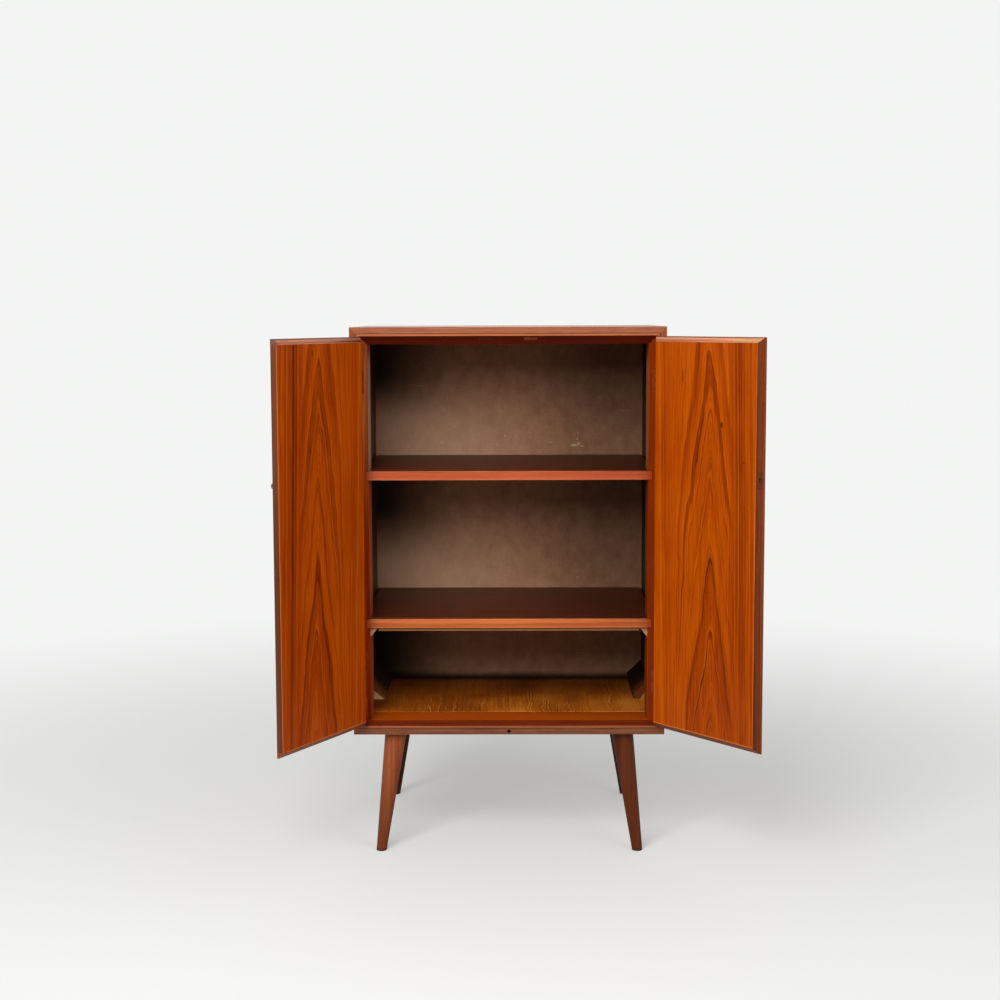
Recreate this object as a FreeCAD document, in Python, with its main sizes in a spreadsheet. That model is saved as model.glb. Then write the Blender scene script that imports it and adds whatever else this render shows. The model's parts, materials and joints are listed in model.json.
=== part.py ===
import FreeCAD, Part
import math
import os

import Sketcher
from FreeCAD import Placement, Rotation, Vector

# A teak cabinet on four splayed legs: a mitred carcase, a bevelled frame round
# its mouth, two shelves and a pair of doors with bevelled edges, drawn open.
# Origin on the floor under the middle of the carcase. +Z is up, the doors face -Y.

os.makedirs("parts", exist_ok=True)
doc = FreeCAD.newDocument("cabinet")
sheet = doc.addObject("Spreadsheet::Sheet", "Sizes")

# Driving dimensions in millimetres, angles in degrees.
SIZES = [
    # carcase of four mitred boards
    ("carcase_width", 700.0), ("carcase_height", 915.0), ("carcase_depth", 485.0),
    ("leg_height", 270.0), ("board", 19.0),
    # bevelled frame glued inside the front of the carcase
    ("edge_line", 14.5), ("edge_face", 20.0), ("lip_depth", 6.0), ("land", 4.0),
    ("side_bevel", 18.0), ("sill_bevel", 10.0), ("frame_depth", 96.0),
    # back panel in its rebate
    ("back_set_in", 8.0), ("back_panel_thick", 4.0), ("back_rebate", 9.5), ("back_play", 0.5),
    ("back_screw_radius", 1.5), ("back_screw_head", 3.2), ("back_screw_head_thick", 2.0),
    ("back_screw_length", 16.0), ("back_screw_end_margin", 40.0),
    # shelves, housed in the side mouldings and resting on pins behind them
    ("shelf", 20.0), ("shelf_setback", 18.0), ("shelf_lipping", 8.0), ("housing_depth", 8.0),
    ("shelf_end_gap", 4.0), ("shelf_back_gap", 1.0), ("upper_shelf_height", 594.5),
    ("lower_shelf_height", 260.5), ("shelf_fit", 0.2), ("pin_radius", 3.0), ("pin_in_board", 10.0),
    ("pin_proud", 11.0), ("pin_from_back", 90.0),
    # batten and corner blocks under the front of the lower shelf
    ("batten_height", 8.5), ("batten_depth", 20.0), ("batten_setback", 30.0),
    ("shelf_block_width", 18.0), ("shelf_block_height", 22.0), ("shelf_block_setback", 28.0),
    ("shelf_block_length", 60.0),
    # floor inside: thin liner on two bearers, with a triangular fillet in each corner
    ("liner", 4.0), ("liner_above_sill", 1.0), ("liner_play", 0.5), ("bearer_width", 100.0),
    ("fillet_width", 35.5), ("fillet_height", 45.0), ("left_fillet_toe", 5.0),
    ("right_fillet_toe", 12.0), ("fillet_setback", 225.0),
    # legs, each on one slanting hanger bolt
    ("leg_top_radius", 24.6), ("leg_foot_radius", 11.6), ("leg_top_from_middle", 257.5),
    ("leg_foot_from_middle", 291.0), ("leg_top_setback", 43.5), ("leg_foot_setback", 9.0),
    ("foot_round", 1.5), ("hanger_radius", 3.0), ("hanger_in_leg", 45.0), ("hanger_above_board", 6.5),
    # doors
    ("door", 16.0), ("door_gap", 1.0), ("door_width", 328.3), ("left_open_angle", 118.0),
    ("right_open_angle", 128.3),
    # butt hinges, their leaves bent along the land and the bevel
    ("axis_proud", 1.0), ("hinge_height", 50.0), ("hinge_from_end", 100.0), ("leaf", 1.2),
    ("leaf_width", 14.0), ("knuckle_radius", 3.0), ("knuckle_room", 0.4), ("knuckle_end_gap", 0.3),
    ("hinge_pin_radius", 1.25), ("hinge_pin_play", 0.05), ("pin_head_radius", 2.4),
    ("pin_head_thick", 1.5), ("hinge_end_room", 2.5), ("wood_screw_radius", 1.2),
    ("wood_screw_head", 2.4), ("wood_screw_sink", 1.2), ("wood_screw_length", 9.0),
    ("hinge_screw_spread", 16.0), ("hinge_screw_share", 0.55), ("screw_play", 0.05),
    # lock in the left door, its key and its strike in the right door
    ("lock_above_door_foot", 569.5), ("lock_backset", 22.0), ("case_length", 42.0),
    ("case_height", 34.0), ("case_thick", 8.0), ("case_wall", 1.0), ("lock_depth", 9.0),
    ("forend_height", 46.0), ("forend_thick", 1.5), ("bolt_thick", 3.6), ("bolt_height", 9.0),
    ("bolt_length", 30.0), ("bolt_above_key", 8.5), ("bolt_play", 0.4), ("bolt_throw", 10.0),
    ("bolt_recess", 0.3), ("key_radius", 1.8), ("key_play", 0.3), ("key_bow_radius", 6.5),
    ("key_bow_hole", 3.4), ("key_bow_thick", 2.4), ("key_bow_reach", 12.8), ("key_bit", 3.4),
    ("escutcheon_half_width", 5.0), ("escutcheon_half_height", 10.0), ("escutcheon_thick", 1.0),
    ("strike_width", 12.0), ("strike_height", 34.0), ("strike_thick", 1.0), ("strike_mortise", 9.0),
    # ball catches in the top of the frame
    ("catch_from_middle", 50.5), ("catch_depth", 10.0), ("catch_plate_length", 29.0),
    ("catch_plate_width", 9.5), ("catch_plate_thick", 1.0), ("catch_barrel_radius", 4.2),
    ("catch_barrel_length", 15.0), ("catch_bore_radius", 3.35), ("catch_lip_radius", 2.95),
    ("catch_lip", 0.4), ("ball_radius", 3.0), ("ball_proud", 1.5), ("ball_press", 1.5),
    ("dimple_play", 0.4), ("spring_wire_radius", 0.3), ("spring_gap", 0.2), ("spring_turns", 5.0),
    ("catch_bottom", 1.2),
    # small round hole in the middle of the bottom front edge
    ("peg_hole_radius", 3.5), ("peg_hole_depth", 12.0), ("peg_hole_above_foot", 7.5),
    # how far a cutting shape runs past what it cuts
    ("overrun", 5.0),
]
for row, (alias, value) in enumerate(SIZES, start=1):
    sheet.set("A%d" % row, alias)
    sheet.set("B%d" % row, str(value))
    sheet.setAlias("B%d" % row, alias)
doc.recompute()


class Size:
    """A length that keeps its value and the sheet expression that it comes from."""

    def __init__(self, value, text):
        self.value = float(value)
        self.text = text

    def join(self, other, sign, value, swap=False):
        """A new size from this one and another, or a plain number."""
        ours, theirs = "(%s)" % self.text, "(%s)" % text_of(other)
        first, second = (theirs, ours) if swap else (ours, theirs)
        return Size(value, "%s %s %s" % (first, sign, second))

    def __add__(self, other):
        return self.join(other, "+", self.value + float(other))

    def __radd__(self, other):
        return self.join(other, "+", float(other) + self.value, swap=True)

    def __sub__(self, other):
        return self.join(other, "-", self.value - float(other))

    def __rsub__(self, other):
        return self.join(other, "-", float(other) - self.value, swap=True)

    def __mul__(self, other):
        return self.join(other, "*", self.value * float(other))

    def __rmul__(self, other):
        return self.join(other, "*", float(other) * self.value, swap=True)

    def __truediv__(self, other):
        return self.join(other, "/", self.value / float(other))

    def __neg__(self):
        return Size(-self.value, "-(%s)" % self.text)

    def __float__(self):
        return self.value


def text_of(length):
    """The expression of a size, or a plain number as text."""
    return length.text if isinstance(length, Size) else repr(float(length))


def size(alias):
    """The size that the sheet holds under this alias."""
    return Size(getattr(sheet, alias), "Sizes.%s" % alias)


overrun = size("overrun")
side = size("carcase_width") / 2
front = -size("carcase_depth") / 2
back = size("carcase_depth") / 2
bottom = size("leg_height")
top = bottom + size("carcase_height")
board = size("board")

PLANES = {"XY": "XY_Plane", "XZ": "XZ_Plane", "YZ": "YZ_Plane"}
finished = []


def new_body(label):
    """An empty body under the piece's own name."""
    body = doc.addObject("PartDesign::Body", label)
    body.Label = label
    return body


def outline(body, plane, corners, at):
    """A closed outline of straight lines, each corner tied to the sheet, on a plane at a height."""
    drawing = body.newObject("Sketcher::SketchObject", body.Name + "_outline")
    support = [f for f in body.Origin.OriginFeatures if f.Role == PLANES[plane]][0]
    drawing.AttachmentSupport = (support, [""])
    drawing.MapMode = "FlatFace"
    # the XZ plane looks along -Y, so its offset counts backwards
    offset = -at if plane == "XZ" else at
    drawing.AttachmentOffset = Placement(Vector(0, 0, float(offset)), Rotation())
    drawing.setExpression(".AttachmentOffset.Base.z", text_of(offset))
    points = [Vector(float(x), float(y), 0) for x, y in corners]
    count = len(points)
    for i in range(count):
        drawing.addGeometry(Part.LineSegment(points[i], points[(i + 1) % count]), False)
    for i in range(count):
        drawing.addConstraint(Sketcher.Constraint("Coincident", i, 2, (i + 1) % count, 1))
    for i, (x, y) in enumerate(corners):
        for kind, length in (("DistanceX", x), ("DistanceY", y)):
            place = drawing.addConstraint(Sketcher.Constraint(kind, i, 1, float(length)))
            drawing.setExpression("Constraints[%d]" % place, text_of(length))
    return drawing


def pad(body, plane, corners, start, length):
    """Adds the outline's prism, from start along the plane's axis of the part."""
    feature = body.newObject("PartDesign::Pad", body.Name + "_pad")
    feature.Profile = outline(body, plane, corners, start)
    feature.setExpression("Length", text_of(length))
    feature.Length = float(length)
    feature.Reversed = plane == "XZ"
    body.Tip = feature


def pocket(body, plane, corners, start, length):
    """Cuts the outline's prism away, from start along the plane's axis of the part."""
    feature = body.newObject("PartDesign::Pocket", body.Name + "_pocket")
    feature.Profile = outline(body, plane, corners, start)
    feature.setExpression("Length", text_of(length))
    feature.Length = float(length)
    feature.Reversed = plane != "XZ"
    body.Tip = feature


def rectangle(x0, y0, x1, y1):
    """Corners of an upright rectangle."""
    return [(x0, y0), (x1, y0), (x1, y1), (x0, y1)]


def keep(piece, label):
    """Names a finished piece and puts it on the list that is written out."""
    piece.Label = label
    finished.append(piece)
    return piece


def place(piece, base, angle=None):
    """Ties a piece's place to the sheet, and its turn about +Z where it has one."""
    turn = float(angle) if angle is not None else 0.0
    piece.Placement = Placement(Vector(*[float(v) for v in base]), Rotation(Vector(0, 0, 1), turn))
    for axis, length in zip("xyz", base):
        piece.setExpression(".Placement.Base.%s" % axis, text_of(length))
    if angle is not None:
        piece.setExpression(".Placement.Rotation.Angle", text_of(angle))
    return piece


def solid(label, shape):
    """A piece whose shape is made in code from the sheet's sizes."""
    piece = doc.addObject("Part::Feature", label)
    piece.Shape = shape
    return piece


def cut_out(label, blank, tools):
    """The blank less its holes and mortises, as a boolean of the document."""
    blank.Label = label + "_blank"
    tool = solid(label + "_holes", tools[0].fuse(tools[1:]) if len(tools) > 1 else tools[0])
    result = doc.addObject("Part::Cut", label)
    result.Base = blank
    result.Tool = tool
    return result


def cylinder(radius, base, direction, length):
    """A round bar from base along a direction."""
    return Part.makeCylinder(float(radius), float(length), Vector(*base), Vector(*direction))


def block(x0, y0, z0, x1, y1, z1):
    """A box between two corners."""
    low = [min(float(a), float(b)) for a, b in ((x0, x1), (y0, y1), (z0, z1))]
    high = [max(float(a), float(b)) for a, b in ((x0, x1), (y0, y1), (z0, z1))]
    return Part.makeBox(high[0] - low[0], high[1] - low[1], high[2] - low[2], Vector(*low))


def prism(points, direction):
    """The flat outline through these points, pushed along a direction."""
    corners = [Vector(*p) for p in points]
    face = Part.Face(Part.makePolygon(corners + [corners[0]]))
    return face.extrude(Vector(*direction))


def countersunk(head, radius, sink, length, play):
    """A countersunk screw down its own +Z axis, its flat head at zero, larger by a play."""
    cone = Part.makeCone(head + play, radius + play, sink)
    return cone.fuse(Part.makeCylinder(radius + play, length + play))


def moved(shape, base, direction):
    """A shape made along +Z, turned to a direction and set at a point."""
    turned = shape.copy()
    turned.Placement = Placement(Vector(*base), Rotation(Vector(0, 0, 1), Vector(*direction)))
    return turned


# Carcase: four boards with mitred corners. In front each is thinned for the lip
# of the frame moulding, at the back it is rebated for the back panel.
lip_depth = size("lip_depth")
rebate_depth = size("back_set_in") + size("back_panel_thick")
zones = [(size("edge_line"), front, lip_depth),
         (board, front + lip_depth, size("carcase_depth") - lip_depth - rebate_depth),
         (board - size("back_rebate"), back - rebate_depth, rebate_depth)]


def carcase_board(label, corners_for):
    """One mitred board, padded zone by zone from front to back."""
    body = new_body(label)
    for thick, start, length in zones:
        pad(body, "XZ", corners_for(thick), start, length)
    return body


def level_corners(outer, inward):
    """Corners of the top or bottom board for one thickness."""
    return lambda t: [(-side, outer), (side, outer), (side - t, outer + inward * t),
                      (t - side, outer + inward * t)]


def upright_corners(hand):
    """Corners of a side board for one thickness."""
    return lambda t: [(hand * side, bottom), (hand * side, top), (hand * (side - t), top - t),
                      (hand * (side - t), bottom + t)]


boards = {"top_panel": carcase_board("top_panel", level_corners(top, -1)),
          "bottom_panel": carcase_board("bottom_panel", level_corners(bottom, 1)),
          "left_side_panel": carcase_board("left_side_panel", upright_corners(-1)),
          "right_side_panel": carcase_board("right_side_panel", upright_corners(1))}

# Frame round the mouth: four solid mouldings with a lip over the board's edge, a
# narrow land and a 45 degree bevel, mitred at the corners. The sill is the lowest.
frame_depth = size("frame_depth")
inner = size("edge_face") + size("side_bevel")
sill = size("edge_face") + size("sill_bevel")


def moulding_section(bevel):
    """(in from the outside, back from the front) of each corner of a moulding's section."""
    edge, land = size("edge_face"), size("land")
    return [(size("edge_line"), 0), (edge, 0), (edge, land), (edge + bevel, land + bevel),
            (edge + bevel, frame_depth), (board, frame_depth), (board, lip_depth),
            (size("edge_line"), lip_depth)]


def frame_cut(body, corners):
    """Cuts an end of a moulding to an outline seen from the front."""
    pocket(body, "XZ", corners, front - overrun, frame_depth + 2 * overrun)


def level_moulding(label, outer, inward, bevel):
    """The top or bottom moulding, mitred at both ends."""
    body = new_body(label)
    section = [(front + b, outer + inward * a) for a, b in moulding_section(bevel)]
    pad(body, "YZ", section, size("edge_line") - side, 2 * (side - size("edge_line")))
    reach = size("edge_face") + bevel + overrun
    for hand in (-1, 1):
        frame_cut(body, [(hand * (side + overrun), outer - inward * overrun),
                         (hand * (side - reach), outer + inward * reach),
                         (hand * (side + overrun), outer + inward * reach)])
    return body


def side_moulding(label, hand):
    """A side moulding: mitred above, mitred and then butted on the sill below, housed for the shelves."""
    body = new_body(label)
    section = [(hand * (side - a), front + b) for a, b in moulding_section(size("side_bevel"))]
    pad(body, "XY", section, bottom + size("edge_line"), size("carcase_height") - 2 * size("edge_line"))
    near, far = hand * (side + overrun), hand * (side - inner - overrun)
    frame_cut(body, [(near, top + overrun), (far, top - inner - overrun), (far, top + overrun)])
    frame_cut(body, [(near, bottom - overrun), (hand * (side - sill), bottom + sill),
                     (far, bottom + sill), (far, bottom - overrun)])
    slot_end = hand * (side - inner + size("housing_depth") + size("shelf_fit"))
    for level in shelf_levels:
        frame_cut(body, rectangle(slot_end, level - size("shelf"), far, level + size("shelf_fit")))
    return body


shelf_levels = [bottom + size("upper_shelf_height"), bottom + size("lower_shelf_height")]
top_moulding = level_moulding("top_frame_moulding", top, -1, size("side_bevel"))
sill_moulding = level_moulding("bottom_frame_moulding", bottom, 1, size("sill_bevel"))
side_mouldings = {-1: side_moulding("left_frame_moulding", -1),
                  1: side_moulding("right_frame_moulding", 1)}

# Back panel: thin board in the rebates, held by round-headed screws.
panel_front = back - rebate_depth
panel_back = back - size("back_set_in")
reach_in = board - size("back_rebate") + size("back_play")
back_body = new_body("back_panel")
pad(back_body, "XZ", rectangle(reach_in - side, bottom + reach_in, side - reach_in, top - reach_in),
    panel_front, size("back_panel_thick"))


def back_screw_places():
    """(x, z) of each screw: four along the top and bottom, three more down each side."""
    line = float(side - board + size("back_rebate") / 2)
    low, high = float(bottom) + float(side) - line, float(top) - float(side) + line
    run = line - float(size("back_screw_end_margin"))
    rows = [(x, z) for x in (-run, -run / 3, run / 3, run) for z in (low, high)]
    quarter = (high - low) / 4
    return rows + [(hand * line, low + i * quarter) for hand in (-1, 1) for i in (1, 2, 3)]


def back_screw(x, z, play=0.0):
    """One screw from behind: a round head on the panel and a shank through it into the rebate."""
    y = float(panel_back)
    shank = cylinder(float(size("back_screw_radius")) + play, (x, y, z), (0, -1, 0),
                     size("back_screw_length"))
    return cylinder(size("back_screw_head"), (x, y, z), (0, 1, 0),
                    size("back_screw_head_thick")).fuse(shank)


screw_play = float(size("screw_play"))
back_screw_room = Part.makeCompound([back_screw(x, z, screw_play) for x, z in back_screw_places()])
back_panel = keep(cut_out("back_panel", back_body, [back_screw_room]), "back_panel")
keep(solid("back_panel_screws", Part.makeCompound([back_screw(x, z) for x, z in back_screw_places()])),
     "back_panel_screws")

# Shelves: boards notched round the side mouldings, with a solid lipping in front.
# Their front ends sit in the housings, their back ends rest on pins.
shelf = size("shelf")
lipping_front = front + size("shelf_setback")
lipping_back = lipping_front + size("shelf_lipping")
notch = front + frame_depth + size("shelf_fit")
shelf_back = panel_front - size("shelf_back_gap")
housed = side - inner + size("housing_depth")
wide = side - board - size("shelf_end_gap")
for name, level in zip(("upper_shelf", "lower_shelf"), shelf_levels):
    body = new_body(name)
    right_half = [(housed, lipping_back), (housed, notch), (wide, notch), (wide, shelf_back)]
    left_half = [(-x, y) for x, y in reversed(right_half)]
    pad(body, "XY", right_half + left_half, level - shelf, shelf)
    keep(body, name)
    strip = new_body(name + "_lipping")
    pad(strip, "XY", rectangle(-housed, lipping_front, housed, lipping_back), level - shelf, shelf)
    keep(strip, name + "_lipping")

pin_levels = [float(level - shelf - size("pin_radius")) for level in shelf_levels]
pin_places = [(hand, level) for hand in (-1, 1) for level in pin_levels]


def shelf_pin(hand, z):
    """One dowel in a side board, under the back end of a shelf."""
    reach = size("pin_in_board") + size("pin_proud")
    start = hand * float(side - board + size("pin_in_board"))
    return cylinder(size("pin_radius"), (start, float(panel_front - size("pin_from_back")), z),
                    (-hand, 0, 0), reach)


keep(solid("shelf_pins", Part.makeCompound([shelf_pin(hand, z) for hand, z in pin_places])), "shelf_pins")

# Under the front of the lower shelf: a raw batten between two triangular blocks,
# each glued into the corner of shelf and side moulding.
under = shelf_levels[1] - shelf
block_from_middle = side - inner - size("shelf_block_width")
batten = new_body("lower_shelf_batten")
pad(batten, "XY", rectangle(-block_from_middle, front + size("batten_setback"), block_from_middle,
                            front + size("batten_setback") + size("batten_depth")),
    under - size("batten_height"), size("batten_height"))
keep(batten, "lower_shelf_batten")
for name, hand in (("left_shelf_block", -1), ("right_shelf_block", 1)):
    body = new_body(name)
    pad(body, "XZ", [(hand * (side - inner), under), (hand * block_from_middle, under),
                     (hand * (side - inner), under - size("shelf_block_height"))],
        front + size("shelf_block_setback"), size("shelf_block_length"))
    keep(body, name)

# Floor inside: a thin liner behind the sill on two bearers over the legs' bolts,
# and a triangular fillet along each side.
liner_top = bottom + sill + size("liner_above_sill")
liner_under = liner_top - size("liner")
liner_front = front + frame_depth
liner_side = side - board - size("liner_play")
floor_liner = new_body("floor_liner")
pad(floor_liner, "XY", rectangle(-liner_side, liner_front, liner_side, panel_front - size("liner_play")),
    liner_under, size("liner"))
keep(floor_liner, "floor_liner")
bearers = {}
for name, hand in (("left_floor_bearer", -1), ("right_floor_bearer", 1)):
    body = new_body(name)
    pad(body, "XY", rectangle(hand * (side - board), liner_front,
                              hand * (side - board - size("bearer_width")), panel_front),
        bottom + board, liner_under - bottom - board)
    bearers[name] = body
for name, hand, toe_height in (("left_floor_fillet", -1, "left_fillet_toe"),
                               ("right_floor_fillet", 1, "right_fillet_toe")):
    body = new_body(name)
    wall = hand * (side - board)
    toe = hand * (side - board - size("fillet_width"))
    pad(body, "XZ", [(wall, liner_top), (toe, liner_top), (toe, liner_top + size(toe_height)),
                     (wall, liner_top + size("fillet_height"))],
        front + size("fillet_setback"), panel_front - front - size("fillet_setback"))
    keep(body, name)


# Legs: turned, tapered and splayed, cut off level under the carcase, each held by
# a hanger bolt along its own axis.
def leg_ends(hand, end):
    """Middle of the leg's top and of its foot, for a side and for front (-1) or back (1)."""
    half = float(back)
    top_point = Vector(hand * float(size("leg_top_from_middle")),
                       end * (half - float(size("leg_top_setback"))), float(bottom))
    foot_point = Vector(hand * float(size("leg_foot_from_middle")),
                        end * (half - float(size("leg_foot_setback"))), 0)
    return top_point, foot_point


def leg_shape(hand, end):
    """A tapered turning along the slanting axis, trimmed level at both ends, its foot eased."""
    high, low = leg_ends(hand, end)
    axis = high - low
    run = axis.Length
    big, small = float(size("leg_top_radius")), float(size("leg_foot_radius"))
    # the cone starts below the floor and ends above the board, so both ends trim level
    spare = 2 * big / run
    taper = big - small
    cone = Part.makeCone(small - taper * spare, big + taper * spare, run * (1 + 2 * spare),
                         low - axis * spare, axis)
    box = Part.makeBox(8 * big, 8 * big, float(bottom), Vector(-4 * big, -4 * big, 0) + Vector(
        (high.x + low.x) / 2, (high.y + low.y) / 2, 0))
    leg = cone.common(box)
    foot_edges = [e for e in leg.Edges if e.BoundBox.ZMax < float(size("foot_round"))]
    return leg.makeFillet(float(size("foot_round")), foot_edges)


def hanger_shape(hand, end, play=0.0):
    """The bolt: up the leg's axis through the bottom board, cut off level above it."""
    high, low = leg_ends(hand, end)
    axis = (high - low).normalize()
    start = high - axis * (float(size("hanger_in_leg")) + play)
    ceiling = float(bottom + board + size("hanger_above_board")) + play
    length = float(size("hanger_in_leg")) + (ceiling - float(bottom)) * 2
    bar = Part.makeCylinder(float(size("hanger_radius")) + play, length, start, axis)
    floor = min(start.z, high.z) - length
    big = float(size("leg_top_radius")) * 4
    return bar.common(Part.makeBox(2 * big, 2 * big, ceiling - floor,
                                   Vector(high.x - big, high.y - big, floor)))


corners = [("front_left", -1, -1), ("front_right", 1, -1), ("rear_left", -1, 1), ("rear_right", 1, 1)]
hanger_room = Part.makeCompound([hanger_shape(hand, end, screw_play) for _, hand, end in corners])
for name, hand, end in corners:
    leg = leg_shape(hand, end).cut(hanger_shape(hand, end, screw_play))
    keep(solid(name + "_leg", leg), name + "_leg")
keep(solid("leg_hanger_bolts", Part.makeCompound([hanger_shape(h, e) for _, h, e in corners])),
     "leg_hanger_bolts")
keep(cut_out("bottom_frame_moulding", sill_moulding, [hanger_room]), "bottom_frame_moulding")
for name, body in bearers.items():
    keep(cut_out(name, body, [hanger_room]), name)

# Pins in the side boards, and a blind hole in the middle of the bottom board's front edge.
pins = Part.makeCompound([shelf_pin(hand, z) for hand, z in pin_places])
peg_hole = cylinder(size("peg_hole_radius"), (0, float(front - overrun),
                    float(bottom + size("peg_hole_above_foot"))), (0, 1, 0),
                    size("peg_hole_depth") + overrun)
keep(cut_out("bottom_panel", boards["bottom_panel"], [back_screw_room, hanger_room, peg_hole]),
     "bottom_panel")

# Hinges. Drawn in the door's own frame: origin on the hinge axis at the door's
# foot, u towards the meeting edge when shut, y towards the back, z up. A left door
# has u along +X, a right door along -X.
door = size("door")
door_foot = bottom + size("edge_face") + size("door_gap")
door_height = size("carcase_height") - 2 * (size("edge_face") + size("door_gap"))
hinge_x = side - size("edge_face") - size("door_gap") / 2
hinge_y = front - size("axis_proud")
edge_u = size("door_gap") / 2
face_y = size("axis_proud")
hinge_heights = {"lower": size("hinge_from_end"), "upper": door_height - size("hinge_from_end")}
DIAGONAL = math.sqrt(0.5)


def leaf_section(on_door):
    """(u, y) of a bent leaf: along the land from the knuckle, then along the bevel, let in flush."""
    way = 1 if on_door else -1
    u, y = way * float(edge_u), float(face_y + size("land"))
    thick, step = float(size("leaf")), float(size("leaf_width")) * DIAGONAL
    bend = thick * (math.sqrt(2) - 1)
    ease = thick * DIAGONAL
    return [(u, 0), (u, y), (u + step, y + step), (u + step + way * ease, y + step - way * ease),
            (u + way * thick, y - way * bend), (u + way * thick, 0)]


def knuckle_spans(on_door):
    """Lowest and highest z of the leaf's knuckles: the door has the middle one."""
    tall, gap = float(size("hinge_height")), float(size("knuckle_end_gap"))
    third = tall / 3
    if on_door:
        return [(third - tall / 2 + gap / 2, 2 * third - tall / 2 - gap / 2)]
    return [(-tall / 2, third - tall / 2 - gap / 2), (2 * third - tall / 2 + gap / 2, tall / 2)]


def along_u(hand, points, z):
    """Points of a section in the door's frame, for a left (1) or right (-1) door."""
    return [(hand * u, y, z) for u, y in points]


def leaf_shape(hand, middle, on_door):
    """A bent leaf with its knuckles, clear of the other leaf's knuckles, screw holes cut."""
    tall, radius = float(size("hinge_height")), float(size("knuckle_radius"))
    low = middle - tall / 2
    leaf = prism(along_u(hand, leaf_section(on_door), low), (0, 0, tall))
    for z0, z1 in knuckle_spans(not on_door):
        room = radius + float(size("knuckle_end_gap"))
        gap = float(size("knuckle_end_gap"))
        leaf = leaf.cut(cylinder(room, (0, 0, middle + z0 - gap), (0, 0, 1), z1 - z0 + 2 * gap))
    for z0, z1 in knuckle_spans(on_door):
        leaf = leaf.fuse(cylinder(radius, (0, 0, middle + z0), (0, 0, 1), z1 - z0))
    bore = float(size("hinge_pin_radius") + size("hinge_pin_play"))
    leaf = leaf.cut(cylinder(bore, (0, 0, low - tall), (0, 0, 1), 3 * tall))
    for screw in leaf_screws(hand, middle, on_door, screw_play):
        leaf = leaf.cut(screw)
    return leaf.removeSplitter()


def leaf_screws(hand, middle, on_door, play=0.0):
    """Two countersunk screws square through the leaf's bevelled part."""
    way = 1 if on_door else -1
    step = float(size("leaf_width") * size("hinge_screw_share")) * DIAGONAL
    u, y = way * float(edge_u) + step, float(face_y + size("land")) + step
    screw = countersunk(float(size("wood_screw_head")), float(size("wood_screw_radius")),
                        float(size("wood_screw_sink")), float(size("wood_screw_length")), play)
    spread = float(size("hinge_screw_spread"))
    return [moved(screw, (hand * u, y, middle + end * spread), (hand * way, -way, 0)) for end in (-1, 1)]


def leaf_mortise(hand, middle, on_door):
    """What the wood gives up to a leaf, its knuckles, the pin's heads and the screws."""
    tall, room = float(size("hinge_height")), float(size("hinge_end_room"))
    section = prism(along_u(hand, leaf_section(on_door), middle - tall / 2), (0, 0, tall))
    barrel = cylinder(size("knuckle_radius") + size("knuckle_room"), (0, 0, middle - tall / 2 - room),
                      (0, 0, 1), tall + 2 * room)
    return section.fuse([barrel] + leaf_screws(hand, middle, on_door, screw_play))


def hinge_pin(middle):
    """The pin with a flat head at each end."""
    tall, head = float(size("hinge_height")), float(size("pin_head_thick"))
    pin = cylinder(size("hinge_pin_radius"), (0, 0, middle - tall / 2), (0, 0, 1), tall)
    for z in (middle - tall / 2 - head, middle + tall / 2):
        pin = pin.fuse(cylinder(size("pin_head_radius"), (0, 0, z), (0, 0, 1), head))
    return pin.removeSplitter()


def at_hinge(shape, name):
    """A shape of the shut door's frame, set in the carcase."""
    hand = HANDS[name]
    set_in = shape.copy()
    set_in.Placement = Placement(Vector(-hand * float(hinge_x), float(hinge_y), float(door_foot)),
                                 Rotation()) * shape.Placement
    return set_in


HANDS = {"left": 1, "right": -1}
frame_screws, hinge_pins = [], []
for name, hand in HANDS.items():
    mortises = []
    for where, height in hinge_heights.items():
        middle = float(height)
        label = "%s_%s_hinge_frame_leaf" % (name, where)
        keep(solid(label, at_hinge(leaf_shape(hand, middle, False), name)), label)
        mortises.append(at_hinge(leaf_mortise(hand, middle, False), name))
        frame_screws += [at_hinge(s, name) for s in leaf_screws(hand, middle, False)]
        hinge_pins.append(at_hinge(hinge_pin(middle), name))
    label = name + "_frame_moulding"
    keep(cut_out(label, side_mouldings[-hand], mortises), label)
    label = name + "_side_panel"
    keep(cut_out(label, boards[label], [back_screw_room, pins] + mortises), label)
keep(solid("hinge_pins", Part.makeCompound(hinge_pins)), "hinge_pins")
keep(solid("hinge_frame_screws", Part.makeCompound(frame_screws)), "hinge_frame_screws")


# Ball catches: a brass plate and barrel let into the bevel of the top moulding, a
# steel ball on a spring, and a dimple in each door's top bevel.
def catch_place(hand):
    """Middle of a catch's plate on the bevel, for the left (-1) or right (1) door."""
    depth = float(size("catch_depth"))
    drop = float(size("edge_face") - size("land")) + depth
    return (hand * float(size("catch_from_middle")), float(front) + depth, float(top) - drop)


INTO_BEVEL = (0, DIAGONAL, DIAGONAL)


def catch_body(play=0.0):
    """Plate and barrel along +Z, the plate's face at zero."""
    length, width = float(size("catch_plate_length")), float(size("catch_plate_width"))
    plate = block(-length / 2, -width / 2, 0, length / 2, width / 2, size("catch_plate_thick"))
    return plate.fuse(cylinder(float(size("catch_barrel_radius")) + play, (0, 0, 0), (0, 0, 1),
                               float(size("catch_barrel_length")) + play))


def catch_shape():
    """The catch with its stepped bore, open in front and closed behind."""
    lip = size("catch_lip")
    deep = size("catch_barrel_length") - size("catch_bottom") - lip
    bore = cylinder(size("catch_bore_radius"), (0, 0, float(lip)), (0, 0, 1), deep)
    mouth = cylinder(size("catch_lip_radius"), (0, 0, -float(overrun)), (0, 0, 1), lip + overrun)
    return catch_body().cut(bore).cut(mouth).removeSplitter()


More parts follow.
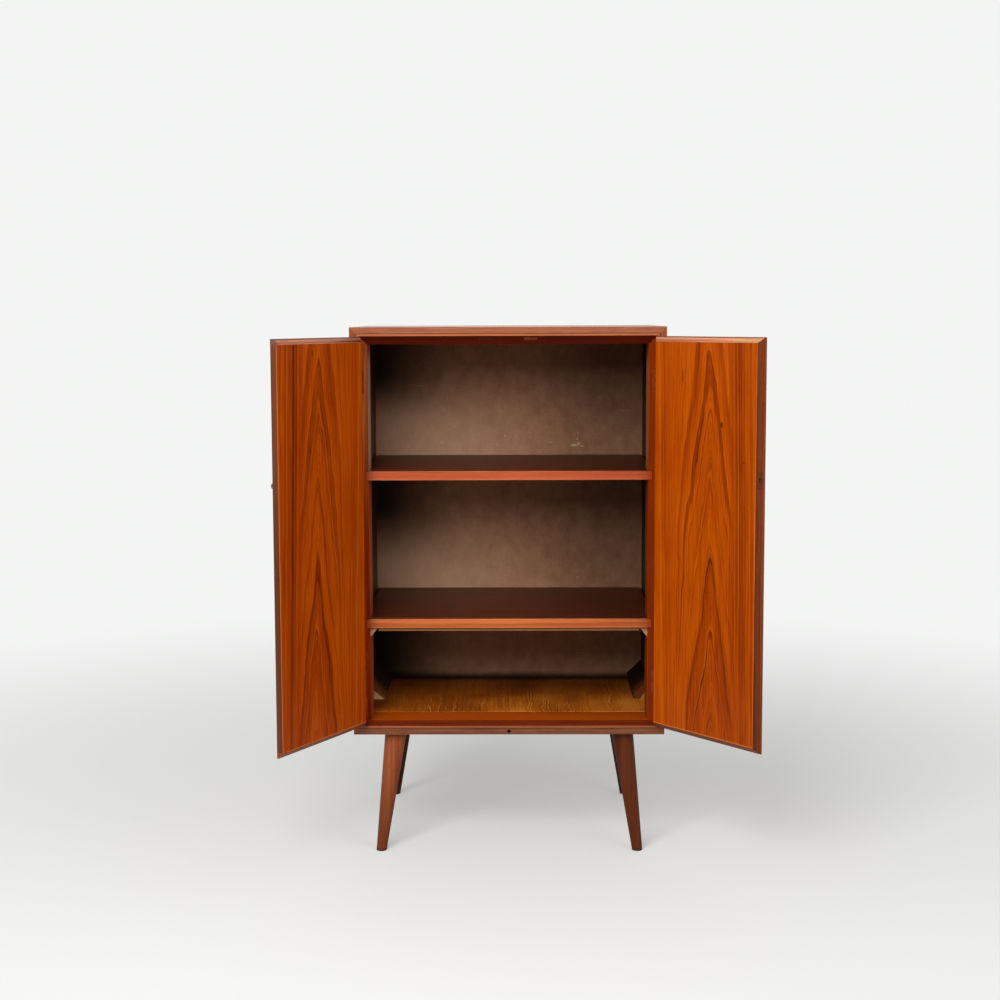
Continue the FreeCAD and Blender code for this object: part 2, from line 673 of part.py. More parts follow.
def catch_ball():
    """The ball at rest, standing out of the plate."""
    return Part.makeSphere(float(size("ball_radius")),
                           Vector(0, 0, float(size("ball_radius") - size("ball_proud"))))


def catch_spring():
    """The spring as it is when the ball is pressed in, wound on the barrel's bottom."""
    wire = float(size("spring_wire_radius"))
    gap = float(size("spring_gap"))
    floor = float(size("catch_barrel_length") - size("catch_bottom"))
    ceiling = float(2 * size("ball_radius") - size("ball_proud") + size("ball_press")) + gap
    mean = float(size("catch_bore_radius")) - wire - gap
    rise = floor - ceiling - 2 * wire
    helix = Part.makeHelix(rise / float(size("spring_turns")), rise, mean)
    helix.Placement = Placement(Vector(0, 0, ceiling + wire), Rotation())
    start = helix.Edges[0].valueAt(helix.Edges[0].FirstParameter)
    tangent = helix.Edges[0].tangentAt(helix.Edges[0].FirstParameter)
    ring = Part.Wire(Part.makeCircle(wire, start, tangent))
    return Part.Wire(helix.Edges).makePipeShell([ring], True, True)


springs, dimples = [], {}
catch_mortises = []
for name, hand in (("left", -1), ("right", 1)):
    spot = catch_place(hand)
    label = name + "_ball_catch"
    keep(solid(label, moved(catch_shape(), spot, INTO_BEVEL)), label)
    label = name + "_catch_ball"
    keep(solid(label, moved(catch_ball(), spot, INTO_BEVEL)), label)
    springs.append(moved(catch_spring(), spot, INTO_BEVEL))
    catch_mortises.append(moved(catch_body(screw_play), spot, INTO_BEVEL))
    deep = float(size("ball_radius") - size("ball_proud"))
    middle = Vector(*spot) + Vector(*INTO_BEVEL) * deep
    dimples[name] = Vector(middle.x + HANDS[name] * float(hinge_x), middle.y - float(hinge_y),
                           middle.z - float(door_foot))
keep(solid("catch_springs", Part.makeCompound(springs)), "catch_springs")
keep(cut_out("top_frame_moulding", top_moulding, catch_mortises), "top_frame_moulding")
keep(cut_out("top_panel", boards["top_panel"], [back_screw_room] + catch_mortises), "top_panel")

# Lock, in the left door's frame: a case with a forend flush in the meeting edge, a
# sliding bolt above the key, the key with its round bow and an oval escutcheon.
end_u = edge_u + size("door_width")
lock_z = size("lock_above_door_foot")
lock_y = face_y + size("lock_depth")
key_u = end_u - size("lock_backset")
bolt_z = lock_z + size("bolt_above_key")


def lock_block(u0, u1, half_y, z0, z1, play=0.0):
    """A box of the lock, centred across the door's thickness."""
    return block(float(u0) - play, float(lock_y) - half_y - play, float(z0) - play,
                 float(u1) + play, float(lock_y) + half_y + play, float(z1) + play)


def lock_outside():
    """The lock's outer shape, which is also its mortise."""
    half = float(size("case_thick")) / 2
    case = lock_block(end_u - size("case_length"), end_u, half, lock_z - size("case_height") / 2,
                      lock_z + size("case_height") / 2)
    forend = lock_block(end_u - size("forend_thick"), end_u, half, lock_z - size("forend_height") / 2,
                        lock_z + size("forend_height") / 2)
    return case.fuse(forend)


def bolt_shape(play=0.0):
    """The bolt drawn back, its end just inside the forend."""
    half = float(size("bolt_thick")) / 2
    tip = end_u - size("bolt_recess")
    return lock_block(tip - size("bolt_length"), tip, half, bolt_z - size("bolt_height") / 2,
                      bolt_z + size("bolt_height") / 2, play)


def key_room():
    """The round way of the key's stem from the door's face into the case."""
    radius = float(size("key_radius") + size("key_play"))
    return cylinder(radius, (float(key_u), float(face_y - overrun), float(lock_z)), (0, 1, 0),
                    overrun + size("lock_depth"))


def lock_case():
    """The hollow case with the bolt's slot and the key's hole."""
    wall = size("case_wall")
    hollow = lock_block(end_u - size("case_length") + wall, end_u - size("forend_thick"),
                        float(size("case_thick") / 2 - wall), lock_z - size("case_height") / 2 + wall,
                        lock_z + size("case_height") / 2 - wall)
    slot = bolt_shape(float(size("bolt_play")))
    slot.translate(Vector(float(overrun), 0, 0))
    return lock_outside().cut(hollow).cut(slot).cut(key_room())


def key_shape():
    """Stem, short bit inside the case and a round bow with a hole, standing upright."""
    u, z = float(key_u), float(lock_z)
    face = float(face_y)
    inside = float(lock_y + size("case_thick") / 2 - size("case_wall") - size("key_play"))
    bow_y = face - float(size("key_bow_reach"))
    thick, radius = float(size("key_bow_thick")), float(size("key_bow_radius"))
    stem = cylinder(size("key_radius"), (u, bow_y, z), (0, 1, 0), inside - bow_y)
    bow = cylinder(radius, (u - thick / 2, bow_y, z), (1, 0, 0), thick)
    eye = cylinder(size("key_bow_hole"), (u - thick, bow_y, z), (1, 0, 0), 2 * thick)
    half = float(size("bolt_thick")) / 2
    bit = block(u - half / 2, float(lock_y) - half, z - float(size("key_bit")), u + half / 2,
                float(lock_y) + half, z)
    return bow.fuse(stem).cut(eye).fuse(bit).removeSplitter()


def escutcheon():
    """An oval plate on the door's face round the key."""
    wide, high = float(size("escutcheon_half_width")), float(size("escutcheon_half_height"))
    thick = float(size("escutcheon_thick"))
    straight = high - wide
    u, z, y = float(key_u), float(lock_z), float(face_y)
    plate = block(u - wide, y - thick, z - straight, u + wide, y, z + straight)
    for way in (-1, 1):
        plate = plate.fuse(cylinder(wide, (u, y - thick, z + way * straight), (0, 1, 0), thick))
    return plate.cut(key_room()).removeSplitter()


def strike_section():
    """(u, y) of the strike plate, let in flush on the right door's meeting bevel."""
    half = float(size("strike_width")) / 2 * DIAGONAL
    deep = float(size("strike_thick")) * DIAGONAL
    mid_u = float(end_u - (door - size("land")) / 2)
    mid_y = float(face_y + size("land") + (door - size("land")) / 2)
    return [(mid_u + half, mid_y - half), (mid_u - half, mid_y + half),
            (mid_u - half - deep, mid_y + half - deep), (mid_u + half - deep, mid_y - half - deep)]


def strike_blank():
    """The strike plate before its slot is cut, in the right door's frame."""
    tall = float(size("strike_height"))
    low = float(bolt_z) - tall / 2
    return prism(along_u(-1, strike_section(), low), (0, 0, tall))


def bolt_way():
    """The room for the thrown bolt in the right door, with play all round."""
    play = float(size("bolt_play"))
    half = float(size("bolt_thick")) / 2 + play
    tall = float(size("bolt_height")) / 2 + play
    return block(-float(end_u + overrun), float(lock_y) - half, float(bolt_z) - tall,
                 -float(end_u - size("strike_mortise") - size("door_gap")), float(lock_y) + half,
                 float(bolt_z) + tall)


# Doors: a veneered core in a border of solid lippings. All edges are bevelled
# towards the inside but the left door's meeting edge, which is square.
def door_piece(piece, label, name):
    """Hangs a piece of a door on its hinge axis at its opening."""
    hand = HANDS[name]
    place(piece, (-hand * hinge_x, hinge_y, door_foot), -hand * size(name + "_open_angle"))
    return keep(piece, label)


bevel = door - size("land")
inside_y = face_y + door
start_u = edge_u


def upright_lipping(label, hand, u, way):
    """A bevelled upright lipping, its land at u, mitred at both ends."""
    body = new_body(label)
    inner_u = u + way * bevel
    pad(body, "XY", [(hand * u, face_y), (hand * inner_u, face_y), (hand * inner_u, inside_y),
                     (hand * u, face_y + size("land"))], 0, door_height)
    outside, past = hand * (u - way * overrun), hand * (inner_u + way * overrun)
    for z, up in ((0, 1), (door_height, -1)):
        pocket(body, "XZ", [(outside, z - up * overrun), (past, z + up * (bevel + overrun)),
                            (past, z - up * overrun)], face_y - overrun, door + 2 * overrun)
    return body


def level_lipping(label, hand, z, up, mitre_meeting):
    """The top or bottom lipping with its land at z, mitred at the hinge end, and at the other if asked."""
    body = new_body(label)
    inner_z = z + up * bevel
    section = [(face_y, z), (face_y + size("land"), z), (inside_y, inner_z), (face_y, inner_z)]
    low = start_u if hand > 0 else -end_u
    pad(body, "YZ", section, low, size("door_width"))
    ends = [(start_u, 1)] + ([(end_u, -1)] if mitre_meeting else [])
    for u, way in ends:
        outside, past = hand * (u - way * overrun), hand * (u + way * (bevel + overrun))
        pocket(body, "XZ", [(outside, z - up * overrun), (past, inner_z + up * overrun),
                            (outside, inner_z + up * overrun)], face_y - overrun, door + 2 * overrun)
    return body


def square_lipping(label, hand):
    """The square meeting lipping, butted between the top and bottom lippings."""
    body = new_body(label)
    pad(body, "XY", rectangle(hand * (end_u - bevel), face_y, hand * end_u, inside_y), bevel,
        door_height - 2 * bevel)
    return body


def core(label, hand):
    """The flat middle of a door."""
    body = new_body(label)
    pad(body, "XY", rectangle(hand * (start_u + bevel), face_y, hand * (end_u - bevel), inside_y),
        bevel, door_height - 2 * bevel)
    return body


for name, hand in HANDS.items():
    leaves, screws = [], []
    for where, height in hinge_heights.items():
        label = "%s_door_%s_hinge_leaf" % (name, where)
        door_piece(solid(label, leaf_shape(hand, float(height), True)), label, name)
        leaves.append(leaf_mortise(hand, float(height), True))
        screws += leaf_screws(hand, float(height), True)
    label = name + "_door_hinge_screws"
    door_piece(solid(label, Part.makeCompound(screws)), label, name)
    dimple = Part.makeSphere(float(size("ball_radius") + size("dimple_play")), dimples[name],
                             Vector(*INTO_BEVEL))
    label = name + "_door_hinge_lipping"
    door_piece(cut_out(label, upright_lipping(label, hand, start_u, 1), leaves), label, name)
    label = name + "_door_top_lipping"
    blank = level_lipping(label, hand, door_height, -1, name == "right")
    door_piece(cut_out(label, blank, [dimple]), label, name)
    label = name + "_door_bottom_lipping"
    door_piece(level_lipping(label, hand, 0, 1, name == "right"), label, name)
    label = name + "_door_meeting_lipping"
    if name == "left":
        blank, holes = square_lipping(label, hand), [lock_outside(), key_room()]
        core_holes = leaves + holes
    else:
        blank = upright_lipping(label, hand, end_u, -1)
        holes, core_holes = [strike_blank(), bolt_way()], leaves
    door_piece(cut_out(label, blank, holes), label, name)
    label = name + "_door_panel"
    door_piece(cut_out(label, core(label, hand), core_holes), label, name)

for label, shape in (("lock_case", lock_case()), ("lock_bolt", bolt_shape()), ("key", key_shape()),
                     ("keyhole_escutcheon", escutcheon())):
    door_piece(solid(label, shape), label, "left")
door_piece(solid("lock_strike", strike_blank().cut(bolt_way())), "lock_strike", "right")

doc.recompute()
failed = [o.Label for o in doc.Objects if "Invalid" in o.State or "Error" in o.State]
if failed:
    raise SystemExit("failed objects: %s" % ", ".join(failed))
for piece in finished:
    if piece.Shape.isNull() or not piece.Shape.isValid():
        raise SystemExit("bad shape: %s" % piece.Label)
for piece in finished:
    piece.Shape.exportStep("parts/%s.step" % piece.Label)
print("%d pieces written" % len(finished))
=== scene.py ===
import json
import math

import bmesh
import bpy
from mathutils import Matrix, Vector


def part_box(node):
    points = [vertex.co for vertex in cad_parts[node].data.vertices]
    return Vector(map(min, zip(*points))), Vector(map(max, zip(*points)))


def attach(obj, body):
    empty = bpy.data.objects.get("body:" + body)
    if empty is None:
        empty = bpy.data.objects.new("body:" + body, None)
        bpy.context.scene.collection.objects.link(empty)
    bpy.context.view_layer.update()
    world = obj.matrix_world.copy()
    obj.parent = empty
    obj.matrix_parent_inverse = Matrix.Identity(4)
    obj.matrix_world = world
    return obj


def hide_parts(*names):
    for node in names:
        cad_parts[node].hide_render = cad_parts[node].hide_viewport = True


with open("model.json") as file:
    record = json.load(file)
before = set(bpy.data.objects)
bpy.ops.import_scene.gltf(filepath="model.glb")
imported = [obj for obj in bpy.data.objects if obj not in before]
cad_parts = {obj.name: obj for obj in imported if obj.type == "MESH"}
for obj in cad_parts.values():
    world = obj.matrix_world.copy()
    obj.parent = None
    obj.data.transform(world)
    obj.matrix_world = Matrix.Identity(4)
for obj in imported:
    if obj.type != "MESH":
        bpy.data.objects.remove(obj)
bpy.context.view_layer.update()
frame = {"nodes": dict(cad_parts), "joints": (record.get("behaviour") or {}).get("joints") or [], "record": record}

# Carcase: four boards of veneered chipboard, mitred at the corners and glued up as one
# tube. The veneer is oiled teak, and the front edges carry a paler strip of the same
# wood. The open arrises are rubbed down with sandpaper.


def paint(red, green, blue):
    """A colour given in the 0 to 255 steps of a colour chart, as light values."""
    steps = (red / 255, green / 255, blue / 255)
    return tuple(v / 12.92 if v <= 0.04045 else ((v + 0.055) / 1.055) ** 2.4 for v in steps) + (1.0,)


def paints(*charted):
    """Several such colours."""
    return tuple(paint(*steps) for steps in charted)


def toned(colour, share):
    """A colour made so many times as light."""
    return tuple(min(1.0, share * v) for v in colour[:3]) + (1.0,)


def new_finish(name, roughness, **sockets):
    """An empty finish: its material, its node tree and its shader."""
    finish = bpy.data.materials.new(name)
    finish.use_nodes = True
    shader = finish.node_tree.nodes["Principled BSDF"]
    shader.inputs["Roughness"].default_value = roughness
    for socket, value in sockets.items():
        shader.inputs[socket.replace("_", " ")].default_value = value
    return finish, finish.node_tree, shader


def add(tree, kind, sources=None, **settings):
    """One node with its settings. Sources gives its inputs, as values or as outputs of other nodes."""
    made = tree.nodes.new("ShaderNode" + kind)
    for key, value in settings.items():
        setattr(made, key, value)
    for key, source in (sources or {}).items():
        if isinstance(source, bpy.types.NodeSocket):
            tree.links.new(source, made.inputs[key])
        else:
            made.inputs[key].default_value = source
    return made


def calc(tree, operation, *terms):
    """A figure worked out from numbers and outputs, one term after the other."""
    value = terms[0]
    for term in terms[1:] or (0.0,):
        value = add(tree, "Math", {0: value, 1: term}, operation=operation).outputs[0]
    return value


def times(tree, *terms):
    """All terms multiplied."""
    return calc(tree, "MULTIPLY", *terms)


def plus(tree, *terms):
    """All terms added up."""
    return calc(tree, "ADD", *terms)


def minus(tree, *terms):
    """The first term less the others."""
    return calc(tree, "SUBTRACT", *terms)


def apart(tree, first, second):
    """How far two figures differ."""
    return calc(tree, "ABSOLUTE", minus(tree, first, second))


def ramp(tree, factor, steps, colours):
    """A colour ramp that has these colours at these steps of the factor."""
    made = add(tree, "ValToRGB", {"Fac": factor})
    elements = made.color_ramp.elements
    while len(elements) < len(steps):
        elements.new(0.5)
    for element, step, colour in zip(elements, steps, colours):
        element.position = step
        element.color = colour
    return made.outputs["Color"]


def blend(tree, factor, first, second, how="MIX"):
    """Two colours mixed, or one multiplied by the other."""
    made = tree.nodes.new("ShaderNodeMix")
    made.data_type = "RGBA"
    made.blend_type = how
    for place, source in ((0, factor), (6, first), (7, second)):
        if isinstance(source, bpy.types.NodeSocket):
            tree.links.new(source, made.inputs[place])
        else:
            made.inputs[place].default_value = source
    return made.outputs[2]


def spread(tree, space, steps, detail, roughness, seed=0.0):
    """Noise whose grains are so many per metre across, through and along the board."""
    scaled = [times(tree, axis, step) for axis, step in zip(space, steps)]
    shifted = plus(tree, scaled[0], seed)
    at = add(tree, "CombineXYZ", {"X": shifted, "Y": scaled[1], "Z": scaled[2]}).outputs[0]
    return add(tree, "TexNoise", {"Vector": at, "Scale": 1.0, "Detail": detail,
                                  "Roughness": roughness}).outputs["Fac"]


def lines(tree, distance, per_metre, detail=4.0):
    """Noise that changes with one distance only, as growth rings do."""
    return add(tree, "TexNoise", {"W": times(tree, distance, per_metre), "Scale": 1.0, "Detail": detail,
                                  "Roughness": 0.6}, noise_dimensions="1D").outputs["Fac"]


def chance(tree, count):
    """A figure from nought to one that is another for each whole number."""
    whole = calc(tree, "FLOOR", count)
    return add(tree, "TexWhiteNoise", {"W": whole}, noise_dimensions="1D").outputs["Value"]


def rise(tree, value, low, high, first=0.0, last=1.0):
    """Goes smoothly from first at low to last at high."""
    return add(tree, "MapRange", {"Value": value, "From Min": low, "From Max": high, "To Min": first,
                                  "To Max": last}, interpolation_type="SMOOTHSTEP").outputs[0]


def between(tree, value, low, high):
    """One inside a range and nought outside it, with a soft edge."""
    soft = 0.0002
    return times(tree, rise(tree, value, low - soft, low), rise(tree, value, high, high + soft, 1.0, 0.0))


def board_space(tree, order, origin=(0, 0, 0), turn=0.0):
    """Distances across, through and along a board, read from its own place in the case."""
    place = add(tree, "TexCoord").outputs["Object"]
    laid = add(tree, "Mapping", {"Vector": place, "Location": origin, "Rotation": (0, 0, turn)},
               vector_type="TEXTURE").outputs[0]
    split = add(tree, "SeparateXYZ", {"Vector": laid})
    return [split.outputs[axis] for axis in order]


def relief(tree, height, strength, distance):
    """Fine bumps from a height, so many metres deep."""
    return add(tree, "Bump", {"Height": height, "Strength": strength, "Distance": distance}).outputs[0]


def wire(tree, shader, **sources):
    """Leads outputs to sockets of the shader."""
    for socket, source in sources.items():
        tree.links.new(source, shader.inputs[socket.replace("_", " ")])


def grown(tree, space, rings, tones, seed, contrast, ring, dark_lines):
    """Colour of wood whose growth rings follow a distance, and its fibres and pores for the relief."""
    pale, middle, dark = tones
    deep = toned(dark, 0.38)
    bands = lines(tree, rings, 60.0)
    count = calc(tree, "DIVIDE", rings, ring)
    late = calc(tree, "POWER", calc(tree, "FRACT", count), 7.0)
    late = times(tree, late, calc(tree, "POWER", chance(tree, count), 2.0), dark_lines)
    fibres = spread(tree, space, (700, 700, 9), 3.0, 0.6, seed)
    pores = rise(tree, spread(tree, space, (1500, 1500, 70), 1.0, 0.5, seed + 3.0), 0.60, 0.72)
    cloud = spread(tree, space, (5, 5, 1.1), 2.0, 0.5, seed + 7.0)
    tone = plus(tree, times(tree, bands, 0.6 * contrast), times(tree, fibres, 0.4 * contrast),
                0.5 * (1.0 - contrast))
    colour = ramp(tree, tone, (0.32, 0.48, 0.66), (dark, middle, pale))
    colour = blend(tree, times(tree, late, plus(tree, 0.35, fibres)), colour, deep)
    shade = ramp(tree, cloud, (0.3, 0.7), ((0.84, 0.81, 0.78, 1), (1.10, 1.09, 1.06, 1)))
    colour = blend(tree, 1.0, colour, shade, "MULTIPLY")
    return blend(tree, times(tree, pores, 0.3), colour, deep), fibres, pores


def oiled(tree, shader, colour, fibres, pores, roughness, light):
    """Leads a wood's colour and relief to its shader. Where a mesh marks an arris as rubbed, the light
    wood below the oil shows."""
    rubbed = add(tree, "Attribute", attribute_name="rubbed").outputs["Fac"]
    bare = times(tree, rubbed, rise(tree, fibres, 0.35, 0.7, 0.15, 0.8))
    wire(tree, shader, Base_Color=blend(tree, bare, colour, light),
         Roughness=plus(tree, roughness - 0.08, times(tree, fibres, 0.16)),
         Normal=relief(tree, minus(tree, times(tree, fibres, 0.5), pores), 0.35, 0.0002))


def teak(name, order, tones, pith, taper=0.0, origin=(0, 0, 0), turn=0.0, sharp=2.0, roughness=0.44,
         seed=0.0, sheen=0.2, local=None, contrast=1.0, ring=0.0075, dark_lines=0.75):
    """Wood cut from a log whose pith lies so far (across, behind) the board's face.

    tones are the pale, middle and dark colours. taper leans the rings, which makes arches on a
    flat cut board, and sharp below two points them. local paints places that differ from the rest.
    """
    finish, tree, shader = new_finish(name, roughness, Specular_IOR_Level=sheen)
    space = board_space(tree, order, origin, turn)
    across, through, along = space
    wander = 0.012
    drift = times(tree, minus(tree, spread(tree, space, (9, 9, 1.6), 2.5, 0.5, seed), 0.5), wander)
    squeeze = 0.06 ** (2.0 - sharp)
    aside = times(tree, calc(tree, "POWER", apart(tree, across, pith[0]), sharp), squeeze)
    depth = plus(tree, times(tree, along, taper), through, pith[1])
    radius = calc(tree, "SQRT", plus(tree, aside, times(tree, depth, depth)))
    rings = plus(tree, radius, drift)
    colour, fibres, pores = grown(tree, space, rings, tones, seed, contrast, ring, dark_lines)
    if local:
        colour = local(tree, space, colour, fibres)
    oiled(tree, shader, colour, fibres, pores, roughness, toned(tones[0], 1.6))
    return finish


def dress(finish, *nodes):
    """Gives CAD pieces their finish."""
    for node in nodes:
        mesh = frame["nodes"][node].data
        mesh.materials.clear()
        mesh.materials.append(finish)


def eased(node, finish, body, axis, value, width, laid=Matrix(), rub=1.0):
    """A CAD piece with the long arrises of one plane rubbed round, in the place of the sharp one.

    The plane lies across an axis (0, 1 or 2) of the piece as laid turns it. rub is how much of the
    bare wood the arrises show.
    """
    same_place, on_plane, sharp_from, long_from = 0.000001, 0.00002, 0.5, 0.03
    shape = bmesh.new()
    shape.from_mesh(frame["nodes"][node].data)
    bmesh.ops.remove_doubles(shape, verts=shape.verts, dist=same_place)
    bmesh.ops.dissolve_limit(shape, angle_limit=math.radians(0.5), verts=shape.verts, edges=shape.edges)
    near = {vert for vert in shape.verts if abs((laid @ vert.co)[axis] - value) < on_plane}
    arrises = [edge for edge in shape.edges if set(edge.verts) <= near and edge.is_convex
               and edge.calc_face_angle(0.0) > sharp_from and edge.calc_length() > long_from]
    rubbed = shape.faces.layers.float.new("rubbed")
    made = bmesh.ops.bevel(shape, geom=arrises, offset=width, offset_type="OFFSET", affect="EDGES",
                           segments=3, profile=0.5, material=-1, clamp_overlap=True)
    for face in made["faces"]:
        face[rubbed] = rub
        face.smooth = True
    mesh = bpy.data.meshes.new(node + "_eased")
    shape.to_mesh(mesh)
    shape.free()
    if "custom_normal" in mesh.attributes:
        mesh.attributes.remove(mesh.attributes["custom_normal"])
    mesh.materials.clear()
    mesh.materials.append(finish)
    piece = bpy.data.objects.new(node + "_eased", mesh)
    bpy.context.scene.collection.objects.link(piece)
    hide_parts(node)
    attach(piece, body)


case_low, case_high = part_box("top_panel")
half_width, case_top, case_front = case_high.x, case_high.z, case_low.y
case_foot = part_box("bottom_panel")[0].z
open_arris = 0.0007
board_thick = 0.018
board_tones = paints((176, 98, 48), (152, 78, 34), (106, 46, 18))
strip_tones = {"top": paints((164, 96, 61), (146, 82, 52), (110, 53, 29)),
               "bottom": paints((134, 82, 56), (114, 67, 44), (78, 40, 24)),
               "side": paints((150, 84, 50), (136, 70, 40), (98, 46, 24))}
wall_tones = {-1: paint(84, 38, 20), 1: paint(46, 17, 5)}
joint_in = 0.0145
joint_dark = paint(58, 20, 6)
peg_hole = next(mount for mount in frame["record"]["mounts"] if mount["name"] == "peg_hole")
hole_bottom = case_front + 0.02
unlit_below, lit_above = 0.46, 0.53
polished = 0.24


def board_places(kind, hand=1):
    """The paler strip on a board's front edge with the dark joint along it, the darker inner faces of
    the side boards with painted shade on them below the lower shelf, and painted shade round the rim of
    the small round hole in the front of the bottom board."""
    def local(tree, space, colour, fibres):
        pale, middle, dark = strip_tones[kind]
        outward = times(tree, space[1], hand)
        if kind == "side":
            walls = between(tree, outward, 0.0, half_width - board_thick)
            shade = blend(tree, fibres, wall_tones[hand], toned(wall_tones[hand], 0.6))
            colour = blend(tree, walls, colour, shade)
            # Painted shade: the inner walls go darker below the lower shelf.
            below = rise(tree, space[2], unlit_below, lit_above, 0.7, 0.0)
            colour = blend(tree, times(tree, walls, below), colour, paint(22, 10, 6))
        strip = ramp(tree, fibres, (0.3, 0.5, 0.7), (dark, middle, pale))
        mottle = spread(tree, space, (300, 300, 22), 3.0, 0.6, 3.0)
        strip = blend(tree, rise(tree, mottle, 0.52, 0.68, 0.0, 0.55), strip, dark)
        front = between(tree, space[0], case_front - 0.001, case_front + 0.0008)
        colour = blend(tree, front, colour, strip)
        edge = {"side": half_width, "top": case_top, "bottom": -case_foot}[kind]
        joint = rise(tree, outward, edge - joint_in + 0.0004, edge - joint_in + 0.0012, 0.85, 0.0)
        colour = blend(tree, times(tree, joint, front), colour, joint_dark)
        if kind == "bottom":
            hole_x, _, hole_z = peg_hole["pos_m"]
            aside, above = minus(tree, space[2], hole_x), minus(tree, space[1], hole_z)
            from_hole = calc(tree, "SQRT", plus(tree, times(tree, aside, aside), times(tree, above, above)))
            hole = peg_hole["dims"]["r_mm"] / 1000
            near = rise(tree, space[0], hole_bottom, hole_bottom + 0.01, 1.0, 0.0)
            # Painted shade: a dark ring round the rim of the hole.
            rim = times(tree, rise(tree, from_hole, hole, hole + 0.0009, 1.0, 0.0), near)
            colour = blend(tree, rim, colour, paint(22, 9, 4))
        return colour
    return local


top_teak = teak("top board teak", "YZX", board_tones, (0.30, -1.10), 0.02, seed=2.0, sheen=0.5,
                local=board_places("top"))
tree = top_teak.node_tree
shader = tree.nodes["Principled BSDF"]
matte = shader.inputs["Roughness"].links[0].from_socket
waxed = rise(tree, board_space(tree, "XYZ")[2], case_top - 0.0006, case_top - 0.0002)
wire(tree, shader, Roughness=plus(tree, times(tree, minus(tree, polished, matte), waxed), matte))
eased("top_panel", top_teak, "carcase", 2, case_top, open_arris)
bottom_teak = teak("bottom board teak", "YZX", board_tones, (-0.5, 0.1), 0.02, seed=5.0,
                   local=board_places("bottom", -1))
eased("bottom_panel", bottom_teak, "carcase", 2, case_foot, open_arris)
for side, hand in (("left", -1), ("right", 1)):
    finish = teak(side + " board teak", "YXZ", board_tones, (0.02 * hand, -0.42 * hand), -0.07 * hand,
                  sharp=1.3, seed=9.0 + hand, local=board_places("side", hand))
    eased(side + "_side_panel", finish, "carcase", 0, hand * half_width, open_arris)

# Frame round the mouth: four solid teak mouldings with a lip, a narrow land and a
# bevel, mitred together and glued inside the front of the case. Their faces towards the
# shelves were never oiled, and the lip's arris against the board makes a fine dark line.
bevel_tones = {"left": paints((186, 72, 8), (156, 55, 3), (110, 31, 1)),
               "right": paints((164, 65, 8), (138, 50, 4), (96, 28, 1)),
               # The top moulding's dark tones are partly painted shade on its downward-facing bevel, and partly
               # its darker stain.
               "top": paints((103, 29, 1), (86, 20, 1), (58, 9, 0)),
               "bottom": paints((172, 76, 12), (148, 58, 4), (108, 34, 1))}
unoiled = {-1: paint(222, 176, 150), 1: paint(158, 108, 68)}
sill_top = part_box("bottom_frame_moulding")[1].z
land_in, frame_in, bevel_deep = 0.0238, 0.0377, 0.023
upper_lit_from, upper_lit_full = 0.83, 0.87
shade_from, shade_full = 1.10, 1.135


def moulding_places(kind, way):
    """The lip's own tone, its dark glue line, the pale unoiled faces of the upright mouldings with painted
    light and shade on them, and painted shade on the sill's bevel.
    """
    def local(tree, space, colour, fibres):
        x, y, z = space if kind == "side" else (space[2], space[1], space[0])
        outward = times(tree, x if kind == "side" else z, way)
        edge = half_width if kind == "side" else (case_top if way > 0 else -case_foot)
        pale, middle = strip_tones[kind][:2]
        strip = ramp(tree, fibres, (0.3, 0.5, 0.7), (middle, pale, toned(pale, 1.2)))
        if kind == "side":
            inner = between(tree, outward, 0.0, half_width - frame_in)
            # Painted light and shade: the pale face shows fully only above the upper shelf, dimmer in the bays
            # below, and is shaded under the top.
            high = rise(tree, z, upper_lit_from, upper_lit_full, 0.12, 0.8)
            shade_under_top = rise(tree, z, shade_from, shade_full, 1.0, 0.25)
            deep_in = between(tree, y, case_front + bevel_deep, 1.0)
            bare = blend(tree, fibres, toned(unoiled[way], 0.7), unoiled[way])
            colour = blend(tree, times(tree, inner, deep_in, high, shade_under_top), colour, bare)
            if way < 0:
                land = rise(tree, outward, half_width - land_in - 0.0008, half_width - land_in, 0.0, 0.85)
                colour = blend(tree, land, colour, paint(96, 16, 2))
                worn = times(tree, rise(tree, z, 0.70, 1.0, 0.0, 0.55), minus(tree, 1.0, land))
                colour = blend(tree, times(tree, worn, minus(tree, 1.0, inner)), colour, paint(186, 106, 52))
        if kind == "bottom":
            # Painted shade: the sill's bevel gets a darker colour, as little light falls on it.
            slope = times(tree, rise(tree, z, sill_top - 0.0002, sill_top, 1.0, 0.0),
                          rise(tree, y, case_front + 0.0008, case_front + 0.0014))
            stained = ramp(tree, fibres, (0.3, 0.7), paints((74, 18, 1), (106, 34, 2)))
            colour = blend(tree, slope, colour, stained)
        front = between(tree, y, case_front - 0.001, case_front + 0.0006)
        colour = blend(tree, front, colour, strip)
        glue = rise(tree, outward, edge - joint_in - 0.0012, edge - joint_in - 0.0004, 0.0, 0.9)
        return blend(tree, glue, colour, joint_dark)
    return local


for side, hand in (("left", -1), ("right", 1)):
    finish = teak(side + " frame teak", "XYZ", bevel_tones[side], (0.9, 0.1), seed=11.0 + hand, sheen=0.12,
                  local=moulding_places("side", hand))
    eased(side + "_frame_moulding", finish, "carcase", 1, case_front, 0.0004)
for level, way in (("top", 1), ("bottom", -1)):
    finish = teak(level + " frame teak", "ZYX", bevel_tones[level], (-0.9, 0.1), seed=13.0 + way, sheen=0.1,
                  local=moulding_places(level, way))
    eased(level + "_frame_moulding", finish, "carcase", 1, case_front, 0.0004)

# Back panel: a sheet of brown hardboard in the rebates, its rough side inwards, held by
# steel screws from behind. Inside it has pale scuffs, painted light low in the upper bays, and
# painted shade high up, to the left and to the right, and along the floor.
back_low, back_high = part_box("back_panel")
floor_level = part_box("floor_liner")[1].z
shelf_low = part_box("lower_shelf")[0].z
